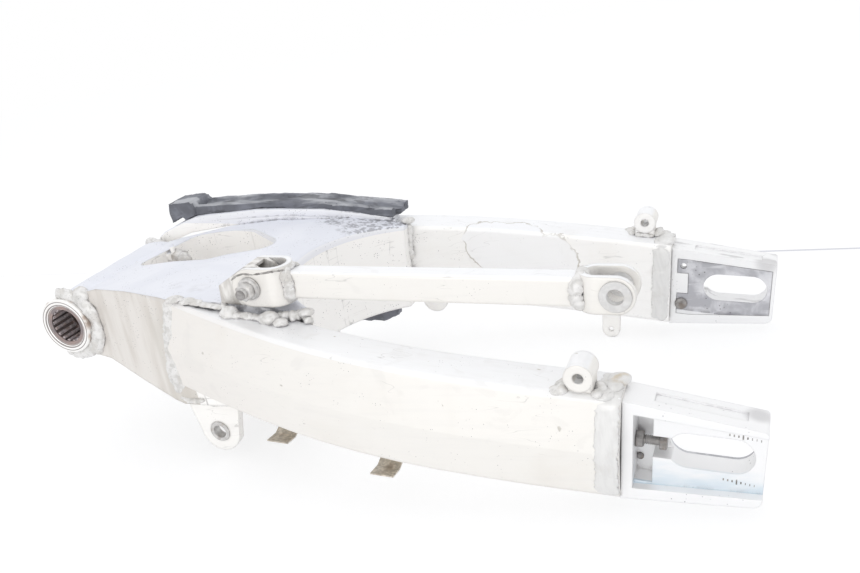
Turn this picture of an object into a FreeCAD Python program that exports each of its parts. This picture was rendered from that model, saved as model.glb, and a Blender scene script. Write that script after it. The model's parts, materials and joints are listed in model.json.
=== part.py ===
import math
import os

import FreeCAD
import Part

V = FreeCAD.Vector
os.makedirs("parts", exist_ok=True)

# Frame: origin at the middle of the pivot axis, X towards the axle, Y towards the chain side, Z up.
# Everything is drawn level with the pivot and laid down at the end, as it rests on lugs and rear ends.

# Pivot
PIVOT_OD = 50.0
PIVOT_HALF = 69.0
BEARING_BORE = 37.0
BEARING_LEN = 24.0
BEARING_SET_IN = 1.6
SHOULDER_BORE = 33.0
CUP_WALL = 1.1
NEEDLE_R = 1.6
NEEDLES = 18

# Main sizes
AXLE_X = 536.6
END_OUT = 140.0
END_THICK = 25.3
ARM_WIDTH = 35.0
ARM_WALL = 3.6
CREASE = 4.0
WELD_X = 485.0
SPLIT_Y = 98.0
CAST_FRONT = 36.0
CAST_FRONT_Y = 62.0
SEAM_X = 130.0
TYRE_X = 303.0
TYRE_R = 100.0
TIP_ANGLE = 62.0
CAST_WALL = 6.0
WING_END = TYRE_X - TYRE_R * math.cos(math.radians(TIP_ANGLE))

# Window through the casting: where it starts, the metal left behind it, and its corners
# Each corner is its share of the way back, its place across and its radius
WINDOW_FRONT = 41.0
BRIDGE = 43.0
WINDOW_CORNERS = [(0.0756, -3, 9), (0.1933, 50, 12), (0.5966, 50, 13), (0.8571, 24, 17), (0.5966, 1, 14)]

# Arm stations: share of the way from the seam to the weld, and how far out the outer face is
ARM_OUT = [(0.0, 96.5), (0.17, 117.0), (0.38, 137.5), (0.58, 147.5), (0.79, 148.5), (1.0, 144.5)]
ARM_TOP_FRONT, ARM_TOP_REAR = 49.5, 36.0
ARM_LOW_FRONT, ARM_LOW_REAR = -26.0, -34.0

# Rear ends
END_REAR = 568.0
END_TOP_FRONT, END_TOP_REAR = 33.0, 23.0
END_LOW_FRONT, END_LOW_REAR = -36.0, -28.7
SLOT_LEN, SLOT_H = 50.2, 24.1
FLANGE = 8.0
WEB_IN = 7.0
PLATE = 2.0
POCKET_X = 492.0
POCKET_LEN = 11.0
ADJ_Y = 127.5
ADJ_D = 6.0
ADJ_AF = 10.0

# Torque arm
TA_Y = 90.0
BOLT_X, BOLT_Z = 216.0, 68.5
EYE_X, EYE_Z = 474.5, 83.0
BOLT_D = 8.0
FIT = 0.05
CLEVIS_W = 28.0
REAR_CLEVIS_W = 23.5
STRIP = 4.0
FRONT_CHEEK_H, REAR_CHEEK_H = 29.0, 25.0
FRONT_REACH, REAR_REACH = 28.0, 33.0
TUBE_H, TUBE_W, TUBE_WALL = 20.0, 16.0, 2.0
EYE_RING, EYE_HOLE = 10.2, 5.3
EAR = 3.0
GAP = 0.3

# Lugs, bosses, tabs, clips
LUG_X, LUG_Y, LUG_Z = 159.0, 90.0, -66.0
LUG_R, LUG_T = 17.4, 6.0
LUG_BUSH, LUG_HOLE = 8.6, 5.6
BOSS_X, BOSS_Z, BOSS_R = 460.5, 49.0, 9.0
BOSS_PROUD, BOSS_LEN, BOSS_HOLE = 1.5, 19.5, 3.4
CLIP_W = 17.0
CLIP_FRONT_X, CLIP_REAR_X = 233.0, 323.5
TAB_X, TAB_DROP = 435.0, 15.0
TAB_R, TAB_T = 7.8, 3.0
DISC_X, DISC_R, DISC_T = 272.0, 12.0, 4.0

# Slider
SLIDE_FRONT, SLIDE_REAR = 16.0, 241.0
SLIDE_W = 30.0
SLIDE_T = 13.0
RUB_FRONT, RUB_REAR = 176.0, 240.0


def lerp(a, b, t):
    return a + (b - a) * t


def arm_x(share):
    return lerp(SEAM_X, WELD_X, share)


def slope_at(i):
    a, b = ARM_OUT[max(i - 1, 0)], ARM_OUT[min(i + 1, len(ARM_OUT) - 1)]
    return (b[1] - a[1]) / (b[0] - a[0])


def arm_out(x):
    """Outer face of the arm: a smooth curve through the stations."""
    t = (x - SEAM_X) / (WELD_X - SEAM_X)
    i = 0
    while i < len(ARM_OUT) - 2 and t > ARM_OUT[i + 1][0]:
        i += 1
    (t0, y0), (t1, y1) = ARM_OUT[i], ARM_OUT[i + 1]
    h = t1 - t0
    u = (t - t0) / h
    m0, m1 = slope_at(i) * h, slope_at(i + 1) * h
    if t <= t0:
        return y0 + slope_at(i) * (t - t0)
    return (y0 * (2 * u ** 3 - 3 * u ** 2 + 1) + m0 * (u ** 3 - 2 * u ** 2 + u)
            + y1 * (3 * u ** 2 - 2 * u ** 3) + m1 * (u ** 3 - u ** 2))


def arm_top(x):
    return lerp(ARM_TOP_FRONT, ARM_TOP_REAR, (x - SEAM_X) / (WELD_X - SEAM_X))


def arm_low(x):
    return lerp(ARM_LOW_FRONT, ARM_LOW_REAR, (x - SEAM_X) / (WELD_X - SEAM_X))


def box(x0, x1, y0, y1, z0, z1):
    return Part.makeBox(x1 - x0, y1 - y0, z1 - z0, V(x0, y0, z0))


def rod(r, y0, y1, x=0.0, z=0.0):
    return Part.makeCylinder(r, y1 - y0, V(x, y0, z), V(0, 1, 0))


def rod_x(r, x0, x1, y, z):
    return Part.makeCylinder(r, x1 - x0, V(x0, y, z), V(1, 0, 0))


def face(points):
    return Part.Face(Part.makePolygon([V(*p) for p in points] + [V(*points[0])]))


def side(points, y0, y1):
    """A shape drawn in X and Z, pulled from y0 to y1."""
    return face([(x, y0, z) for x, z in points]).extrude(V(0, y1 - y0, 0))


def plan(points, z0, z1):
    """A shape drawn in X and Y, pulled from z0 to z1."""
    return face([(x, y, z0) for x, y in points]).extrude(V(0, 0, z1 - z0))


def hexagon(af, x0, x1, y, z, along):
    r = af / math.sqrt(3.0)
    pts = []
    for i in range(6):
        a = math.radians(60 * i + 30)
        if along == "x":
            pts.append((x0, y + r * math.cos(a), z + r * math.sin(a)))
        else:
            pts.append((y + r * math.cos(a), x0, z + r * math.sin(a)))
    pull = V(x1 - x0, 0, 0) if along == "x" else V(0, x1 - x0, 0)
    return face(pts).extrude(pull)


def slot(length, height, x, z, y0, y1):
    r = height / 2.0
    half = length / 2.0 - r
    s = box(x - half, x + half, y0, y1, z - r, z + r)
    return s.fuse([rod(r, y0, y1, x - half, z), rod(r, y0, y1, x + half, z)]).removeSplitter()


def round_edges(shape, radius, pick):
    edges = [e for e in shape.Edges if pick(e)]
    try:
        out = shape.makeFillet(radius, edges) if edges else shape
        return out if out.isValid() else shape
    except Exception:
        return shape


def along_axis(edge, axis):
    a, b = edge.Vertexes[0].Point, edge.Vertexes[-1].Point
    d = b - a
    return d.Length > 1 and abs(abs(d.normalize().dot(axis)) - 1) < 0.02


def mirror(shape):
    return shape.mirror(V(0, 0, 0), V(0, 1, 0))


# It rests on the two lug rounds and on the lower rear corners of the ends.
span = math.hypot(END_REAR - LUG_X, END_LOW_REAR - LUG_Z)
TILT = math.degrees(math.atan2(END_LOW_REAR - LUG_Z, END_REAR - LUG_X) + math.asin(LUG_R / span))


def save(name, shapes):
    """Lays the piece down and writes it."""
    items = shapes if isinstance(shapes, list) else [shapes]
    solids = [s for item in items for s in item.Solids]
    out = solids[0] if len(solids) == 1 else Part.makeCompound(solids)
    out = out.copy()
    out.rotate(V(0, 0, 0), V(0, 1, 0), TILT)
    out.exportStep("parts/" + name + ".step")


# Pivot tube with a stepped bore, chamfered at the mouths
tube = rod(PIVOT_OD / 2, -PIVOT_HALF, PIVOT_HALF)
rims = [e for e in tube.Edges if abs(abs(e.CenterOfMass.y) - PIVOT_HALF) < 0.01]
tube = tube.makeChamfer(1.0, rims)
tube = tube.cut(rod(SHOULDER_BORE / 2, -PIVOT_HALF - 1, PIVOT_HALF + 1))
seat = PIVOT_HALF - BEARING_SET_IN - BEARING_LEN
for s in (-1, 1):
    y0, y1 = sorted((s * seat, s * (PIVOT_HALF + 1)))
    tube = tube.cut(rod(BEARING_BORE / 2, y0, y1))
mouth = Part.makeCone(BEARING_BORE / 2 + 1.6, BEARING_BORE / 2 - 0.1, 1.4, V(0, -PIVOT_HALF - 0.01, 0), V(0, 1, 0))
tube = tube.cut(mouth).cut(mirror(mouth))
save("pivot_tube", tube)

# Needle bearings: a drawn cup with turned-in lips, and its needles
cup_r = BEARING_BORE / 2 - 0.01
cup = rod(cup_r, -seat - BEARING_LEN, -seat).cut(rod(cup_r - CUP_WALL, -seat - BEARING_LEN + 1, -seat - 1))
cup = cup.cut(rod(cup_r - CUP_WALL - 2 * NEEDLE_R + 0.9, -seat - BEARING_LEN - 1, -seat + 1))
needle_ring = cup_r - CUP_WALL - NEEDLE_R - 0.02
needles = []
for i in range(NEEDLES):
    a = 2 * math.pi * i / NEEDLES
    x, z = needle_ring * math.cos(a), needle_ring * math.sin(a)
    needles.append(rod(NEEDLE_R, -seat - BEARING_LEN + 1 + GAP, -seat - 1 - GAP, x, z))
save("bearing_cup_brake", cup)
save("bearing_cup_chain", mirror(cup))
save("needles_brake", needles)
save("needles_chain", [mirror(n) for n in needles])

# Cross casting: side profile and plan outline crossed, window and tyre hollow cut through
roof_line = [(6, 24.0), (22, 31.0), (CAST_FRONT, 35.0), (80, 43.5), (SEAM_X, 50.0), (200, 52.5),
             (WING_END, 49.0)]
floor_line = [(WING_END, -29), (200, -33), (165, -39), (SEAM_X - 8, -42), (80, -37), (CAST_FRONT, -30),
              (14, -27), (6, -24)]
profile = roof_line + floor_line
half_plan = [(6, CAST_FRONT_Y - 1.0), (CAST_FRONT, CAST_FRONT_Y), (SEAM_X - 8, 93), (SEAM_X + 4, SPLIT_Y),
             (WING_END, SPLIT_Y)]
outline = half_plan + [(x, -y) for x, y in reversed(half_plan)]
cast = side(profile, -120, 120).common(plan(outline, -60, 70))
tyre = Part.makeCylinder(TYRE_R, 160, V(TYRE_X, 0, -80), V(0, 0, 1))
cast = cast.cut(tyre)
window_rear = TYRE_X - TYRE_R - BRIDGE


def window(offset, z0, z1):
    """Rounded three-cornered opening, set towards the chain side; offset grows it."""
    corners = [(lerp(WINDOW_FRONT, window_rear, t), y, r) for t, y, r in WINDOW_CORNERS]
    discs = [Part.makeCylinder(r + offset, z1 - z0, V(x, y, z0), V(0, 0, 1)) for x, y, r in corners]
    pts = []
    n = len(corners)
    for i in range(n):
        (xa, ya, ra), (xb, yb, rb) = corners[i], corners[(i + 1) % n]
        dx, dy = xb - xa, yb - ya
        d = math.hypot(dx, dy)
        base = math.atan2(dy, dx)
        a = base + math.acos(max(-1.0, min(1.0, (ra - rb) / d)))
        pts.append((xa + (ra + offset) * math.cos(a), ya + (ra + offset) * math.sin(a)))
        pts.append((xb + (rb + offset) * math.cos(a), yb + (rb + offset) * math.sin(a)))
    return discs[0].fuse(discs[1:] + [plan(pts, z0, z1)]).removeSplitter()


cast = round_edges(cast, 4.0, lambda e: e.CenterOfMass.z > 36 and e.CenterOfMass.x > 150
                   and e.CenterOfMass.x < WING_END - 2 and abs(e.CenterOfMass.y) < SPLIT_Y - 3
                   and not e.Curve.isDerivedFrom("Part::GeomLine"))
cast = cast.cut(window(0.0, -80, 80))

# The underside is a shell: pockets between the walls, one on each side
pocket_half = [(CAST_FRONT - 2, CAST_FRONT_Y - CAST_WALL - 2), (SEAM_X - 8, 93 - CAST_WALL),
               (SEAM_X + 6, SPLIT_Y - CAST_WALL), (WING_END - 8, SPLIT_Y - CAST_WALL)]
pocket_out = pocket_half + [(x, -y) for x, y in reversed(pocket_half)]
roof = [(x, z - CAST_WALL - 1) for x, z in roof_line if CAST_FRONT <= x < WING_END]
roof = [(CAST_FRONT, -70)] + roof + [(WING_END - 8, roof[-1][1] - 2), (WING_END - 8, -70)]
hollow = plan(pocket_out, -70, 60).common(side(roof, -120, 120))
hollow = hollow.cut(Part.makeCylinder(TYRE_R + CAST_WALL, 200, V(TYRE_X, 0, -100), V(0, 0, 1)))
hollow = hollow.cut(window(CAST_WALL, -90, 90))
hollow = hollow.cut(box(SEAM_X + 10, SEAM_X + 15, -SPLIT_Y, -30, -90, 90))
hollow = hollow.cut(box(SEAM_X + 10, SEAM_X + 15, 62, SPLIT_Y, -90, 90))
hollow = hollow.cut(rod(PIVOT_OD / 2 + 7, -90, 90))
cast = cast.cut(hollow)
cast = cast.cut(rod(PIVOT_OD / 2, -90, 90))
cast = max(cast.Solids, key=lambda s: s.Volume)
save("cross_casting", cast)


# Arms: five-sided extrusions, bent outwards, cut flat where they lie against the casting
def arm_section(x, shrink):
    yo, yi = arm_out(x) - shrink, arm_out(x) - ARM_WIDTH + shrink
    zt, zb = arm_top(x) - shrink, arm_low(x) + shrink
    zc = lerp(zb, zt, 0.47)
    c = 2.6 if shrink == 0 else 1.0
    pts = [(yi, zb + c), (yi + c, zb), (yo - c, zb), (yo, zb + c), (yo + CREASE, zc), (yo, zt - c),
           (yo - c, zt), (yi + c, zt), (yi, zt - c)]
    return Part.makePolygon([V(x, y, z) for y, z in pts] + [V(x, pts[0][0], pts[0][1])])


stations = [arm_x(i / 12.0) for i in range(13)]
arm_body = Part.makeLoft([arm_section(x, 0.0) for x in stations], True, True)
arm_core = Part.makeLoft([arm_section(x, ARM_WALL) for x in stations], True, True)
arm = arm_body.cut(arm_core.cut(box(SEAM_X - 1, SEAM_X + 4, 0, 200, -80, 80)))
arm = arm.cut(box(SEAM_X - 10, WING_END, 0, SPLIT_Y, -80, 80))
arm_body = arm_body.cut(box(SEAM_X - 10, WING_END, 0, SPLIT_Y, -80, 80))

# What lies on the arms and the casting is trimmed to their flat tops and undersides
arm_ground = side([(x, arm_top(x)) for x in (100, 600)] + [(600, 0), (100, 0)], SPLIT_Y, 250)
arm_sky = side([(x, arm_low(x)) for x in (100, 600)] + [(600, 20), (100, 20)], 0, 250)
cast_ground = side(roof_line + [(WING_END, 0), (6, 0)], 0, SPLIT_Y)
save("chain_side_arm", arm)
save("brake_side_arm", mirror(arm))


# Rear ends: open C section outside, slot, adjuster pocket, shallow seat inside for the wear plate
def end_edge(x, front, rear):
    return lerp(front, rear, (x - WELD_X) / (END_REAR - WELD_X))


inner = END_OUT - END_THICK
end_side = [(WELD_X, END_TOP_FRONT), (END_REAR, END_TOP_REAR), (END_REAR - 1.0, END_LOW_REAR),
            (WELD_X, END_LOW_FRONT)]
end = side(end_side, inner, END_OUT)
end = round_edges(end, 6.0, lambda e: along_axis(e, V(0, 1, 0)) and e.CenterOfMass.x > END_REAR - 3
                  and e.CenterOfMass.z < 0)
end = round_edges(end, 2.5, lambda e: along_axis(e, V(0, 1, 0)) and e.CenterOfMass.x > END_REAR - 3
                  and e.CenterOfMass.z > 0)


def web_edge(x, sign):
    if sign > 0:
        return end_edge(x, END_TOP_FRONT - FLANGE, END_TOP_REAR - FLANGE * 0.5)
    return end_edge(x, END_LOW_FRONT + FLANGE, END_LOW_REAR + FLANGE * 0.75)


recess = [(POCKET_X, web_edge(POCKET_X, 1)), (END_REAR + 5, web_edge(END_REAR + 5, 1)),
          (END_REAR + 5, web_edge(END_REAR + 5, -1)), (POCKET_X, web_edge(POCKET_X, -1))]
end = end.cut(side(recess, END_OUT - WEB_IN, END_OUT + 1))
pocket_z0, pocket_z1 = web_edge(POCKET_X, -1), web_edge(POCKET_X, 1)
pocket_x1 = POCKET_X + POCKET_LEN
end = end.cut(box(POCKET_X, pocket_x1, ADJ_Y - 8.0, END_OUT + 1, pocket_z0 + 1.5, pocket_z1 - 1.5))
slot_x0 = AXLE_X - SLOT_LEN / 2
end = end.cut(box(pocket_x1 - 1, slot_x0 + 4, ADJ_Y - 7.5, END_OUT, -7.5, 7.5))
end = end.cut(slot(SLOT_LEN, SLOT_H, AXLE_X, 0, inner - 1, END_OUT + 1))
groove = [(WELD_X + 18, 60), (WELD_X + 18, end_edge(WELD_X + 18, END_TOP_FRONT, END_TOP_REAR) - 1.5),
          (END_REAR - 12, end_edge(END_REAR - 12, END_TOP_FRONT, END_TOP_REAR) - 1.5), (END_REAR - 12, 60)]
mid_y = inner + END_THICK * 0.45
end = end.cut(side(groove, mid_y - 5, mid_y + 5))

plate_side = [(WELD_X + 5, 24), (WELD_X + 15, 23.5), (END_REAR - 3, 17.5), (END_REAR - 3.5, -22),
              (WELD_X + 15, -26.5), (WELD_X + 5, -26)]
plate_end = side(plate_side, inner - 1, inner + PLATE)
tab_notch = box(WELD_X + 3, WELD_X + 14, inner - 2, inner + PLATE + 1, -7, 11)
seat_cut = plate_end.cut(tab_notch)
end = end.cut(seat_cut)
grown = [(x + (GAP if x < AXLE_X else -GAP), z + (-GAP if z > 0 else GAP)) for x, z in plate_side]
plate = side(grown, inner, inner + PLATE)
plate = plate.cut(box(WELD_X + 3, WELD_X + 14 + GAP, inner - 2, inner + PLATE + 1, -7 - GAP, 11 + GAP))
plate = plate.cut(slot(SLOT_LEN, SLOT_H, AXLE_X, 0, inner - 1, inner + PLATE + 1))
screw_at = [(WELD_X + 10, 17.5), (WELD_X + 9, -16.5)]
screws = []
for x, z in screw_at:
    plate = plate.cut(rod(2.6, inner - 1, inner + PLATE + 1, x, z))
    end = end.cut(rod(2.1, inner, inner + 9, x, z))
x, z = screw_at[1]
cross = box(x - 2.2, x + 2.2, inner - 2, inner - 0.4, z - 0.5, z + 0.5)
cross = cross.fuse(box(x - 0.5, x + 0.5, inner - 2, inner - 0.4, z - 2.2, z + 2.2))
screw = rod(4.2, inner - 1.8, inner, x, z).cut(cross).fuse(rod(2.08, inner - 0.2, inner + 8, x, z))

# Chain adjusters: bolt through the front wall of the pocket, lock nut against the wall
tap = rod_x(ADJ_D / 2, WELD_X - 1, POCKET_X + 1, ADJ_Y, 1.0)
end = end.cut(tap)
head_x1 = slot_x0 - 0.5
bolt = rod_x(ADJ_D / 2 - 0.02, WELD_X + 1, head_x1 - 4, ADJ_Y, 1.0)
bolt = bolt.fuse(hexagon(ADJ_AF, head_x1 - 4.5, head_x1, ADJ_Y, 1.0, "x"))
nut = hexagon(ADJ_AF, POCKET_X, POCKET_X + 5, ADJ_Y, 1.0, "x").cut(rod_x(ADJ_D / 2, 400, 600, ADJ_Y, 1.0))
for name, put in (("chain", lambda s: s), ("brake", mirror)):
    save(name + "_side_end", put(end))
    save("wear_plate_" + name, put(plate))
    save("plate_screw_" + name, put(screw))
    save("adjuster_bolt_" + name, put(bolt))
    save("lock_nut_" + name, put(nut))

# Stand bosses on saddle feet, tapped from the outside in
boss_out = arm_out(BOSS_X) + BOSS_PROUD
boss = rod(BOSS_R, boss_out - BOSS_LEN, boss_out, BOSS_X, BOSS_Z)
foot_y0, foot_y1 = boss_out - BOSS_LEN + 1, boss_out - BOSS_PROUD - 4
foot = box(BOSS_X - BOSS_R + 1, BOSS_X + BOSS_R - 1, foot_y0, foot_y1, 0, BOSS_Z)
boss = boss.fuse(foot).cut(arm_ground)
boss = boss.cut(rod(BOSS_HOLE, 0, 200, BOSS_X, BOSS_Z))
save("stand_boss_chain", boss)
save("stand_boss_brake", mirror(boss))

# Lugs under the casting, each with a pressed bush
lug = side([(LUG_X - 27, -38), (LUG_X - 16, LUG_Z - 6), (LUG_X + 17, LUG_Z - 6), (LUG_X + 22, -32)],
           LUG_Y - LUG_T / 2, LUG_Y + LUG_T / 2)
lug = lug.fuse(rod(LUG_R, LUG_Y - LUG_T / 2, LUG_Y + LUG_T / 2, LUG_X, LUG_Z))
lug = lug.cut(rod(LUG_BUSH, 0, 200, LUG_X, LUG_Z)).removeSplitter()
lug = lug.cut(side(floor_line[:-2] + [(CAST_FRONT, 0), (WING_END, 0)], 0, SPLIT_Y))
lug = max(lug.Solids, key=lambda s: s.Volume)
bush = rod(LUG_BUSH - 0.01, LUG_Y - LUG_T / 2 - 1, LUG_Y + LUG_T / 2 + 1, LUG_X, LUG_Z)
bush = bush.cut(rod(LUG_HOLE, 0, 200, LUG_X, LUG_Z))
save("lug_chain", lug)
save("lug_brake", mirror(lug))
save("lug_bush_chain", bush)
save("lug_bush_brake", mirror(bush))

# Torque arm, drawn level from the bolt and then tipped to its eye
reach = math.hypot(EYE_X - BOLT_X, EYE_Z - BOLT_Z)
rise = -math.degrees(math.atan2(EYE_Z - BOLT_Z, EYE_X - BOLT_X))


def tip(shape):
    out = shape.copy()
    out.rotate(V(BOLT_X, 0, BOLT_Z), V(0, 1, 0), rise)
    return out


def strip(x_bend, x_end, height, hole, facing, width):
    """U of bent strip about the line y = -TA_Y; the bend is at x_bend."""
    r = width / 2
    cx = x_bend + facing * r
    lo, hi = sorted((cx, x_end))
    z0, z1 = BOLT_Z - height / 2, BOLT_Z + height / 2
    outer = box(lo, hi, -TA_Y - r, -TA_Y + r, z0, z1).fuse(
        Part.makeCylinder(r, height, V(cx, -TA_Y, z0), V(0, 0, 1)))
    core = box(min(cx, x_end + facing), max(cx, x_end + facing), -TA_Y - r + STRIP, -TA_Y + r - STRIP, z0 - 1, z1 + 1)
    core = core.fuse(Part.makeCylinder(r - STRIP, height + 2, V(cx, -TA_Y, z0 - 1), V(0, 0, 1)))
    out = outer.cut(core).removeSplitter()
    rr = height / 2
    px = x_end - facing * rr
    lo, hi = sorted((px, x_bend))
    keep = box(lo, hi, -200, 0, z0, z1).fuse(rod(rr, -200, 0, px, BOLT_Z))
    out = out.common(keep)
    return out.cut(rod(hole, -200, 0, hole_at(x_end, facing, rr), BOLT_Z))


def hole_at(x_end, facing, rr):
    return x_end - facing * rr


front_bend = BOLT_X + FRONT_REACH
front_clevis = strip(front_bend, BOLT_X - FRONT_CHEEK_H / 2, FRONT_CHEEK_H, BOLT_D / 2 + FIT, -1, CLEVIS_W)
eye_x = BOLT_X + reach
rear_bend = eye_x - REAR_REACH + REAR_CHEEK_H / 2 - 4
rear_clevis = strip(rear_bend, eye_x + REAR_CHEEK_H / 2, REAR_CHEEK_H, EYE_RING - 2.0, 1,
                    REAR_CLEVIS_W)
bar_x0, bar_x1 = front_bend - 0.4, rear_bend + 0.4
bar = box(bar_x0, bar_x1, -TA_Y - TUBE_W / 2, -TA_Y + TUBE_W / 2, BOLT_Z - TUBE_H / 2, BOLT_Z + TUBE_H / 2)
bar = round_edges(bar, 2.0, lambda e: along_axis(e, V(1, 0, 0)))
w = TUBE_WALL
bar = bar.cut(box(bar_x0 - 1, bar_x1 + 1, -TA_Y - TUBE_W / 2 + w, -TA_Y + TUBE_W / 2 - w,
                  BOLT_Z - TUBE_H / 2 + w, BOLT_Z + TUBE_H / 2 - w))
bar = bar.cut(Part.makeCylinder(CLEVIS_W / 2, 60, V(front_bend - CLEVIS_W / 2, -TA_Y, BOLT_Z - 30), V(0, 0, 1)))
bar = bar.cut(Part.makeCylinder(REAR_CLEVIS_W / 2, 60, V(rear_bend + REAR_CLEVIS_W / 2, -TA_Y, BOLT_Z - 30),
                                V(0, 0, 1)))
eyes = []
for s in (-1, 1):
    face_y = -TA_Y + s * REAR_CLEVIS_W / 2
    y0, y1 = sorted((face_y - s * STRIP, face_y + s * 1.5))
    ring = rod(EYE_RING - 2.01, y0, y1, eye_x, BOLT_Z)
    y2, y3 = sorted((face_y, face_y + s * 1.5))
    ring = ring.fuse(rod(EYE_RING, y2, y3, eye_x, BOLT_Z)).cut(rod(EYE_HOLE, -200, 0, eye_x, BOLT_Z))
    eyes.append(tip(ring))
save("torque_bar", tip(bar))
save("front_clevis", tip(front_clevis))
save("rear_clevis", tip(rear_clevis))
save("eye_rings", eyes)

# Bracket for it: a folded channel on the arm top, its web sloping up over the front
base_z = 52.5
ear_half = CLEVIS_W / 2 - STRIP - GAP
swing_r = FRONT_REACH - CLEVIS_W / 2 + 1.5
ear = [(BOLT_X - 29, base_z), (BOLT_X - 29, base_z + 14), (BOLT_X - 5, BOLT_Z + swing_r - 1)]
for a in (75, 50, 25, 0):
    ear.append((BOLT_X + swing_r * math.cos(math.radians(a)), BOLT_Z + swing_r * math.sin(math.radians(a))))
ear.append((BOLT_X + swing_r, base_z))
bracket = side(ear, -TA_Y - ear_half, -TA_Y + ear_half)
lift = [(BOLT_X - 29 + EAR, base_z - 1), (BOLT_X - 29 + EAR, base_z + 14 - EAR * 0.7),
        (BOLT_X - 4.2, BOLT_Z + swing_r - 1 - EAR), (BOLT_X + 2, BOLT_Z + swing_r - EAR), (BOLT_X + 2, BOLT_Z + 30),
        (BOLT_X + 40, BOLT_Z + 30), (BOLT_X + 40, base_z - 1)]
bracket = bracket.cut(side(lift, -TA_Y - ear_half + EAR, -TA_Y + ear_half - EAR))
bracket = bracket.cut(rod(BOLT_D / 2 + FIT, -200, 0, BOLT_X, BOLT_Z))
flange = [(BOLT_X - 24, -TA_Y - 16), (BOLT_X + 15, -TA_Y - 16.0), (BOLT_X + 38, -TA_Y - 8), (BOLT_X + 38, -TA_Y + 2),
          (BOLT_X + 15, -TA_Y + 11), (BOLT_X - 29, -TA_Y + 11)]
flange = plan(flange, base_z - 10, base_z - 0.5)
bracket = bracket.fuse(flange).cut(mirror(cast_ground)).cut(mirror(arm_ground)).removeSplitter()
bracket = max(bracket.Solids, key=lambda s: s.Volume)
save("torque_bracket", bracket)

# Sleeve between the ears, bolt, washer and flanged nut
sleeve_half = ear_half - EAR
sleeve = rod(7.0, -TA_Y - sleeve_half, -TA_Y + sleeve_half, BOLT_X, BOLT_Z)
save("bracket_sleeve", sleeve.cut(rod(BOLT_D / 2 + FIT, -200, 0, BOLT_X, BOLT_Z)))
outer_y = -TA_Y - CLEVIS_W / 2
inner_side = -TA_Y + CLEVIS_W / 2
washer = rod(8.6, outer_y - 1.9, outer_y - 0.3, BOLT_X, BOLT_Z).cut(rod(BOLT_D / 2 + FIT, -200, 0, BOLT_X, BOLT_Z))
save("torque_washer", washer)
flange_nut = rod(8.4, outer_y - 3.4, outer_y - 1.9, BOLT_X, BOLT_Z)
flange_nut = flange_nut.fuse(hexagon(12.0, outer_y - 9.4, outer_y - 3.4, BOLT_X, BOLT_Z, "y"))
save("torque_nut", flange_nut.cut(rod(BOLT_D / 2 - 0.01, -200, 0, BOLT_X, BOLT_Z)))
pin = rod(BOLT_D / 2 - 0.02, outer_y - 12.5, inner_side + 1, BOLT_X, BOLT_Z)
pin = pin.fuse(rod(8.0, inner_side + 0.3, inner_side + 1.8, BOLT_X, BOLT_Z))
pin = pin.fuse(hexagon(12.0, inner_side + 1.8, inner_side + 7.0, BOLT_X, BOLT_Z, "y"))
save("torque_bolt", pin)


# Chain slider: worn channel over the chain side, hooked down over the pivot end
def slide_side(x):
    return lerp(76.0, 100.0, (x - SLIDE_FRONT) / (SLIDE_REAR - SLIDE_FRONT))


def slide_base(x):
    for (x0, z0), (x1, z1) in zip(SLIDE_LINE, SLIDE_LINE[1:]):
        if x <= x1:
            return lerp(z0, z1, (x - x0) / (x1 - x0))
    return SLIDE_LINE[-1][1]


SLIDE_LINE = [(SLIDE_FRONT - 46, 43), (SLIDE_FRONT - 16, 46), (SLIDE_FRONT + 18, 47), (SEAM_X + 10, 54.5),
              (SEAM_X + 60, 53), (SLIDE_REAR, 50)]


def slide_section(x):
    y0 = slide_side(x)
    z0 = slide_base(x)
    y1, z1 = y0 + SLIDE_W, z0 + SLIDE_T
    pts = [(y0, z0), (y1, z0), (y1, z1 - 2), (y1 - 2, z1), (y1 - 6, z1), (y1 - 8, z1 - 4), (y0 + 8, z1 - 4),
           (y0 + 6, z1), (y0 + 2, z1), (y0, z1 - 2)]
    return Part.makePolygon([V(x, y, z) for y, z in pts] + [V(x, pts[0][0], pts[0][1])])


slide_x = [SLIDE_FRONT + 10] + [x for x, z in SLIDE_LINE[2:]]
slider = Part.makeLoft([slide_section(x) for x in slide_x], True, False)
hook = side([(SLIDE_FRONT - 3, 24), (SLIDE_FRONT - 5, 50), (SLIDE_FRONT + 2, 58), (SLIDE_FRONT + 9, 63.5),
             (SLIDE_FRONT + 20, 62), (SLIDE_FRONT + 26, 58), (SLIDE_FRONT + 26, 47), (SLIDE_FRONT + 16, 43),
             (SLIDE_FRONT + 12, 24)], slide_side(20) - 1, slide_side(20) + SLIDE_W - 1)
slider = slider.fuse(hook).cut(cast_ground).removeSplitter()
slider = max(slider.Solids, key=lambda s: s.Volume)
save("chain_slider", slider)

# The casting and arm carry it on a rib, and two screws hold it
rib_x = [SLIDE_FRONT + 18, SEAM_X + 10, SEAM_X + 60, SLIDE_REAR]
rib_pts = [(rib_x[0] - 4, 30)] + [(x, slide_base(x)) for x in rib_x] + [(SLIDE_REAR, 30)]
rib = side(rib_pts, 0, 200)
rib_y0, rib_y1 = slide_side(rib_x[0]), slide_side(SLIDE_REAR)
rib_plan = [(rib_x[0], rib_y0 - 3), (rib_x[0], rib_y0 + 4), (SLIDE_REAR, rib_y1 + 6), (SLIDE_REAR, rib_y1 - 3)]
rib = rib.common(plan(rib_plan, 0, 90)).cut(cast_ground).cut(arm_ground).cut(slider)
rib = max(rib.Solids, key=lambda s: s.Volume)
save("slider_rib", rib)

# Lower strip under the same arm
low_y = SPLIT_Y + 3
lower = side([(RUB_FRONT, arm_low(RUB_FRONT)), (RUB_REAR, arm_low(RUB_REAR)), (RUB_REAR - 4, -42),
              (RUB_REAR - 14, -47), (RUB_FRONT + 12, -50), (RUB_FRONT + 2, -44)], low_y, low_y + 13)
save("lower_rub_strip", lower)

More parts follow.
